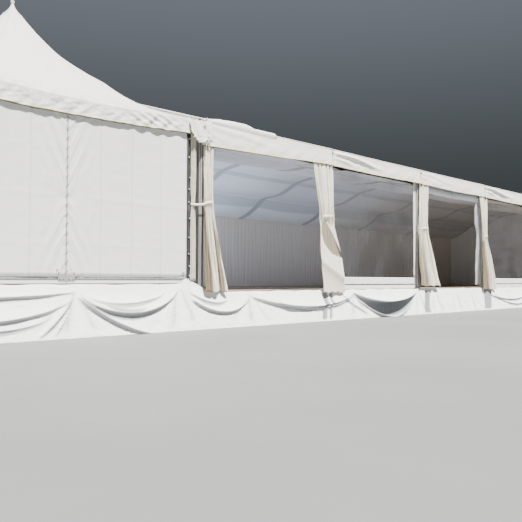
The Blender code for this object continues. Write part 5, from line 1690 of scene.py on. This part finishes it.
@dataclass(frozen=True)
class SkirtRun:
    """One straight run of the platform's skirt, in swags between gather points."""

    name: str
    start: Pair
    end: Pair
    head: float
    flare: float
    shifts: Pair
    gathers: Levels
    lips: tuple[Lip, ...]
    replaces: Names
    seed: int
    rests: str = "hall_podium"
    raised: Pair = (0.0, 0.0)
    join: Pair = (0.0, 0.0)
    bands: tuple[Triple, ...] = ()
    fine_length: float = 10.4

    def build(self) -> None:
        """Makes the run.

        The base sheet leans from the head down to the ground. The lips of the swags stand out of
        it, and their scoops draw it back below them; painted shadow darkens the hollows below the
        lips. Under each gather point fan folds spread to the ground, with painted shade in their
        creases, and bands are straight shallow dents between two places, darkened by painted
        shade. The upper edge wavers, it may start higher, where the cloth is drawn up over a
        corner, and the run may start further out, where it joins on to the one before it.
        """
        start, end = array(self.start), array(self.end)
        length = float(np.linalg.norm(end - start))
        fine = min(self.fine_length, length)
        close, wide = np.arange(0, fine - 0.01, 0.025), np.arange(fine, length - 0.03, 0.055)
        steps = np.concatenate([close, wide, [length]])
        walked, v = np.meshgrid(steps, linspace(0, 1, 84 if self.fine_length else 48))
        fall = 1 - v
        head = self.head + 0.008 * Crumple(self.seed + 5, 0.6)(walked, 0 * v)
        head = head + self.raised[0] * (1 - ramp(walked, -0.10, 0.50))
        head = head + self.raised[1] * (1 - ramp(length - walked, 0, 0.25))
        z = 0.002 + (head - 0.002) * v
        joined = 1 - ramp(walked, 0, 0.60)
        lean = (self.flare + self.join[0] * joined) * fall**1.1 + self.join[1] * joined
        first, last = self.shifts
        stretched = walked * (1 + (last + first) * lean / length) - first * lean
        fans, shade = self.fans(walked, fall)
        depth = sum(lip.height(walked, z) for lip in self.lips) + fans
        scoop = 0 * walked
        for lip in self.lips:
            hollow = lip.hollow(walked, z)
            # painted shadow in the hollows below the lips
            shade = maximum(shade, hollow)
            scoop = maximum(scoop, lip.scoop * hollow)
        for first_side, last_side, slant in self.bands:
            place = walked + slant * (lean - self.flare / 2) + 0.012 * sin(9 * z + first_side)
            band = ramp(place, first_side, first_side + 0.03) * ramp(last_side - place, 0, 0.03)
            band = band * ramp(head - 0.02 - z, 0, 0.02) * ramp(z, 0, 0.05)
            depth = depth - 0.03 * band
            # painted shade in each band
            shade = maximum(shade, 0.80 * band)
        depth = depth + 0.005 * Crumple(self.seed + 1, 0.5)(walked, fall)
        depth = depth + 0.002 * Crumple(self.seed + 2, 0.15)(walked, 0.6 * fall)
        ease = ramp(minimum(walked, length - walked), 0, 0.08) * ramp(fall, 0, 0.05)
        reach = 0.008 + lean * (1 - scoop) + maximum(depth, -0.03 * fall) * ease * (1 - 0.5 * scoop)
        x, y = placed(start, end, stretched, reach)
        piece = Piece(self.name).grid(stack(x, y, z), soil=0.2 * bell(z, 0, 0.04), shade=shade)
        flat = (round(length * 1.03, 2), round(math.hypot(self.head, self.flare) * 1.25, 2))
        hang(piece, "skirt", flat, self.replaces, 0.0012)

    def fans(self, walked: Array, fall: Array) -> tuple[Array, Array]:
        """Fan folds below each gather point: broad cosines of the slant, parted by sharp creases.

        Args:
            walked: Distance along the run.
            fall: Share of the way down.

        Returns:
            Their depth, and the shade mark of the creases.
        """
        fan, mark = np.zeros_like(walked), np.zeros_like(walked)
        for post in self.gathers:
            side = (walked - post) / (0.03 + 0.50 * fall)
            fade = bell(side, 0, 0.85) * ramp(fall, 0.06, 0.25)
            turn = side * math.pi * 1.3 + 0.4 * post
            cusp = 1 - np.abs(sin(turn)) ** 0.5
            fan += fade * fall**0.5 * (0.024 * (0.5 - 0.5 * cos(2 * turn)) - 0.012 * cusp)
            mark = maximum(mark, 0.75 * fade * cusp**1.5 * ramp(1 - fall, 0, 0.25))
        return fan, mark


@dataclass(frozen=True)
class Skirts(Assembly):
    """Swagged cloth skirt round the whole platform: head height and flare at hall and peak tent."""

    hall: Pair = (0.541, 0.168)
    peak: Pair = (0.658, 0.218)
    past_right: float = 0.06
    left: float = -7.136
    left_front: float = 0.80
    peak_right: float = -7.155

    def build_front(self) -> None:
        """Builds the two front runs, whose swags follow the ones seen."""
        low, high = low_of("peak_frame"), high_of("peak_frame")
        x0, x1, y0 = float(low[0]), float(high[0]), float(low[1])
        # In both tables: ends as X and height, sag, depth, above, power, then where given dark and under of
        # the painted shadow below the lip, and scoop
        seen = (
            (-11.02, 0.55, -9.03, 0.575, 0.045, 0.055, 0.06),
            (-11.02, 0.44, -9.07, 0.52, 0.235, 0.070, 0.10, 0.6),
            (-8.98, 0.545, -7.475, 0.60, 0.285, 0.085, 0.08, 0.75, 0.72, 0.085),
            (-8.90, 0.52, -7.70, 0.56, 0.125, 0.030, 0.05), (-8.72, 0.45, -8.05, 0.36, 0.060, 0.022, 0.04),
            (-9.03, 0.53, -8.02, 0.02, 0.085, 0.070, 0.10), (-10.60, 0.30, -9.30, 0.30, 0.16, 0.030, 0.08),
            (-9.47, 0.04, -9.06, 0.50, 0.03, 0.050, 0.05, 0.75, 0.6, 0.06),
            (-9.28, 0.06, -9.11, 0.34, 0.01, 0.030, 0.03, 0.75, 0.55, 0.05),
        )
        SkirtRun(
            "skirt_cloth_peak_front", (x0, y0), (x1 + 0.03, y0), *self.peak, (1, 0),
            (-9.05 - x0, -7.475 - x0), tuple(Lip.seen(x0, *row) for row in seen), ("skirt_peak_front",), 800,
            "peak_frame", raised=(0, 0.085),
        ).build()
        seen = (
            (-7.42, 0.60, -6.135, 0.49, 0.290, 0.070, 0.09), (-7.36, 0.62, -6.60, 0.44, 0.120, 0.030, 0.06),
            (-6.135, 0.49, -3.468, 0.49, 0.215, 0.065, 0.10), (-5.60, 0.40, -3.50, 0.45, 0.190, 0.040, 0.07),
            (-6.06, 0.47, -4.70, 0.30, 0.060, 0.025, 0.06),
            (-3.50, 0.49, -1.25, 0.52, 0.200, 0.125, 0.13, 0.9, 0.96, 0.27, 0.95),
            (-3.55, 0.48, -1.28, 0.50, 0.480, 0.060, 0.05, 1), (-3.90, 0.50, -3.20, 0.10, 0.030, 0.030, 0.06),
            (1.75, 0.50, 4.60, 0.50, 0.250, 0.050, 0.10), (2.20, 0.46, 4.55, 0.46, 0.340, 0.035, 0.07),
        )
        # bands of painted shade, each with a shallow dent: first and last X, and slant
        bands = ((-4.447, -4.29, 1.18), (-4.257, -4.153, 1.18), (-1.074, -0.834, 1.66), (1.655, 2.07, 2.08))
        y, right = float(low_of("hall_podium")[1]), float(high_of("hall_podium")[0]) + self.past_right
        posts = (1.10, 3.05, 5, 7.2, 9.1, right)
        lips = tuple(Lip.seen(x1, *row) for row in seen)
        lips += swags(tuple(p - x1 for p in posts[2:]), self.hall[0], 811)
        SkirtRun(
            "skirt_cloth_front", (x1, y), (right, y), *self.hall, (0, 1),
            tuple(p - x1 for p in (-6.135, -3.468, -1.207, -0.50, 0.40, *posts[:-1])), lips,
            ("skirt_front",), 810, raised=(0.202, 0), join=(0.050, y - y0),
            bands=tuple((a - x1, b - x1, slant) for a, b, slant in bands),
        ).build()

    def build_hidden(self) -> None:
        """Builds the runs that aren't seen, turning outwards from the platform's edge."""
        front, rear = low_of("hall_podium")[1], high_of("hall_podium")[1]
        right = float(high_of("hall_podium")[0]) + self.past_right
        (peak_left, peak_front, _), peak_rear = low_of("peak_frame"), high_of("peak_frame")[1]
        runs = (
            ("right", (right, front), (right, rear), (1, 1), 3, 820),
            ("rear", (right, rear), (self.left, rear), (1, 1), 9, 830),
            ("left", (self.left, rear), (self.left, self.left_front), (1, -1), 2, 840),
            ("peak_rear", (self.peak_right, peak_rear), (peak_left, peak_rear), (0, 1), 2, 850),
            ("peak_left", (peak_left, peak_rear), (peak_left, peak_front), (1, 1), 2, 860),
        )
        for name, start, end, shifts, count, seed in runs:
            rests, size = ("peak_frame", self.peak) if "peak" in name else ("hall_podium", self.hall)
            length = math.hypot(end[0] - start[0], end[1] - start[1])
            draw = np.random.default_rng(seed)
            inner = length * (np.arange(1, count) + draw.uniform(-0.15, 0.15, count - 1)) / count
            posts = (0, *(float(p) for p in inner), length)
            SkirtRun(
                f"skirt_cloth_{name}", start, end, *size, shifts, posts[1:-1],
                swags(posts, size[0], seed + 1), (f"skirt_{name}",), seed, rests, fine_length=0,
            ).build()


@dataclass(frozen=True)
class Fittings(Assembly):
    """Small hardware of the frames: keder grooves, brackets, bolts and the post in the slot."""

    post: Pair = (-7.306, -7.232)
    peak_posts: tuple[Pair, ...] = ((-7.349, -3.010), (-10.979, -3.010))

    def build_grooves(self) -> None:
        """Two dark grooves down the outer face of each leg."""
        lows, highs = [], []
        for x in LEG_X:
            for side in (-0.022, 0.022):
                for y in (FRONT_Y - 0.0012, REAR_Y - 0.0008):
                    lows.append([x + side - 0.004, y, 0.56])
                    highs.append([x + side + 0.004, y + 0.002, 2.99])
        Piece("leg_grooves").blocks(lows, highs).make("dark", slot="aluminium")

    def build_brackets(self) -> None:
        """Foot brackets with bolts on the front legs and the high-peak tent's corner posts."""
        lows, highs, paths = [], [], []
        for x, y in (*((x, FRONT_Y) for x in LEG_X), *self.peak_posts):
            base = 0.72 if y < FRONT_Y - 0.005 else 0.56
            lows.append([x - 0.040, y - 0.006, base])
            highs.append([x + 0.040, y + 0.001, base + 0.11])
            for dx, dz in ((-0.022, 0.03), (0.022, 0.03), (-0.022, 0.08), (0.022, 0.08)):
                foot = array([x + dx, y - 0.005, base + dz])
                paths.append([foot, foot + [0, -0.007, 0]])
        Piece("leg_brackets").blocks(lows, highs).make("steel", bevel=0.0015)
        Piece("leg_bolts").tubes(paths, 0.0075, 6).make("steel")

    def build_slot_post(self) -> None:
        """Dark channel post in the slot between the tents, with bright bolts."""
        (left, right), foot, head = self.post, 0.66, 2.94
        web, lip = FRONT_Y - 0.012, FRONT_Y - 0.024
        # the post is near black as a painted shade of the slot between the tents
        Piece("slot_post").blocks(
            [[left, web, foot], [left + 0.004, lip, foot], [right - 0.014, lip, foot]],
            [[right, FRONT_Y + 0.040, head], [left + 0.016, web, head], [right - 0.002, web, head]],
        ).make("channel", bevel=0.001)
        levels = array([0.78, 0.92, 1.10, 1.34, 1.62, 1.86, 2.05, 2.22, 2.52, 2.80])
        face = stack((left + right) / 2 + 0.010 * sin(9 * levels), FRONT_Y - 0.014, levels)
        paths = np.stack([face, face + [0, -0.016, 0]], axis=1)
        Piece("slot_post_bolts").tubes(paths, 0.011, 8).make("steel")


def dress_nodes() -> None:
    """Gives every CAD node that stays visible its finish."""
    metal = [f"hall_frame_{i}" for i in range(1, 8)]
    metal += ["front_eave_beam", "rear_eave_beam", "front_purlin", "rear_purlin"]
    metal += ["ridge_beam", "peak_frame", "king_pole"]
    chosen = dict.fromkeys(metal, "aluminium")
    chosen |= dict.fromkeys(("hall_podium", "peak_podium", "king_pole_cables"), "steel")
    chosen |= dict.fromkeys(("hall_floor", "peak_floor"), "boards")
    for name, finish in chosen.items():
        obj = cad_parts[name]
        obj = obj if isinstance(obj, bpy.types.Object) else bpy.data.objects[name]
        for slot in obj.material_slots:
            slot.material = FINISHES[finish]


@dataclass(frozen=True)
class Studio(Assembly):
    """Camera, lights, world and the plain floor."""

    place: Triple = (-12.559, -10.104, 0.72)
    yaw: float = math.radians(43.607)
    pitch: float = math.radians(1.82)
    roll: float = math.radians(-0.15)
    lens: float = 41.38

    def build_camera(self) -> None:
        """Camera at the photograph's viewing angle."""
        data = bpy.data.cameras.new("camera")
        data.lens = self.lens
        data.sensor_width = 36
        data.clip_end = 200
        level = math.cos(self.pitch)
        forward = Vector((level * math.sin(self.yaw), level * math.cos(self.yaw), math.sin(self.pitch)))
        right = forward.cross(Vector((0, 0, 1))).normalized()
        up = right.cross(forward)
        turn = Matrix.Rotation(self.roll, 3, forward)
        right, up = turn @ right, turn @ up
        matrix = Matrix((right, up, -forward)).transposed().to_4x4()
        matrix.translation = Vector(self.place)
        camera = bpy.data.objects.new("camera", data)
        camera.matrix_world = matrix
        bpy.context.scene.collection.objects.link(camera)
        bpy.context.scene.camera = camera

    def lamp(
        self, name: str, kind: str, energy: float, place: Triple, target: Triple, size: float, color: Triple
    ) -> None:
        """Adds a lamp, SUN or AREA, that points at a target; its size is an angle or a side."""
        data = bpy.data.lights.new(name, kind)
        data.energy = energy
        data.color = color
        if kind == "SUN":
            data.angle = size
        else:
            data.shape = "RECTANGLE"
            data.size, data.size_y = size, 3.5
        lamp = bpy.data.objects.new(name, data)
        lamp.location = place
        lamp.rotation_euler = (Vector(target) - Vector(place)).to_track_quat("-Z", "Y").to_euler()
        lamp.visible_camera = False
        bpy.context.scene.collection.objects.link(lamp)

    def build_lights(self) -> None:
        """High sun from the front and soft light inside the hall."""
        self.lamp("high_sun", "SUN", 15.5, (-3, -8.2, 14), (-2.3, 0, 0), math.radians(4), (1, 0.975, 0.93))
        for x, energy in ((-4.5, 150), (1.5, 30)):
            self.lamp(f"inner_{x:.0f}", "AREA", energy, (x, 0.8, 0.75), (x, 2, 4), 4.6, (0.90, 0.95, 1))

    def build_world(self) -> None:
        """Surroundings that are dark near the horizon and pale blue above it."""
        world = bpy.data.worlds.new("studio_surroundings")
        world.use_nodes = True
        wire = Wiring(world.node_tree)
        up = wire.part(wire.place("Generated"), 2)
        back = world.node_tree.nodes["Background"]
        color = wire.mix(wire.ramp(up, 0.10, 0.55), (0.20, 0.23, 0.24), (0.72, 0.80, 0.92))
        wire.join(color, back.inputs["Color"])
        back.inputs["Strength"].default_value = 0.26
        bpy.context.scene.world = world

    def build_floor(self) -> None:
        """Plain pale floor."""
        mesh = bpy.data.meshes.new("studio_floor")
        reach = 70
        corners = [(-reach, -reach, 0), (reach, -reach, 0), (reach, reach, 0), (-reach, reach, 0)]
        mesh.from_pydata(corners, [], [(0, 1, 2, 3)])
        material, wire = new_material("pale_floor")
        tone = wire.ramp(wire.noise(wire.place(), 0.4), 0.3, 0.7)
        wire.finish(Base_Color=wire.mix(tone, (0.20, 0.205, 0.21), (0.23, 0.235, 0.24)), Roughness=0.9)
        mesh.materials.append(material)
        floor = bpy.data.objects.new("studio_floor", mesh)
        bpy.context.scene.collection.objects.link(floor)
        floor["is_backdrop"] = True


def main() -> None:
    """Builds the marquee piece by piece and works out the two boxes."""
    logging.basicConfig(level=logging.INFO, format="%(name)s %(message)s")
    roof = PeakRoof()
    peak = (Studio(), roof, PeakWalls(roof), RainCover())
    for part in (*peak, HallCovers(), Windows(), Lining(), Curtains(), Skirts(), Fittings()):
        part.build()
    dress_nodes()
    boxes = {"cad": CAD_BOX, "visual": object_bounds()}
    {k: [[float(c) for c in corner] for corner in box] for k, box in boxes.items()}


if __name__ == "__main__":
    main()
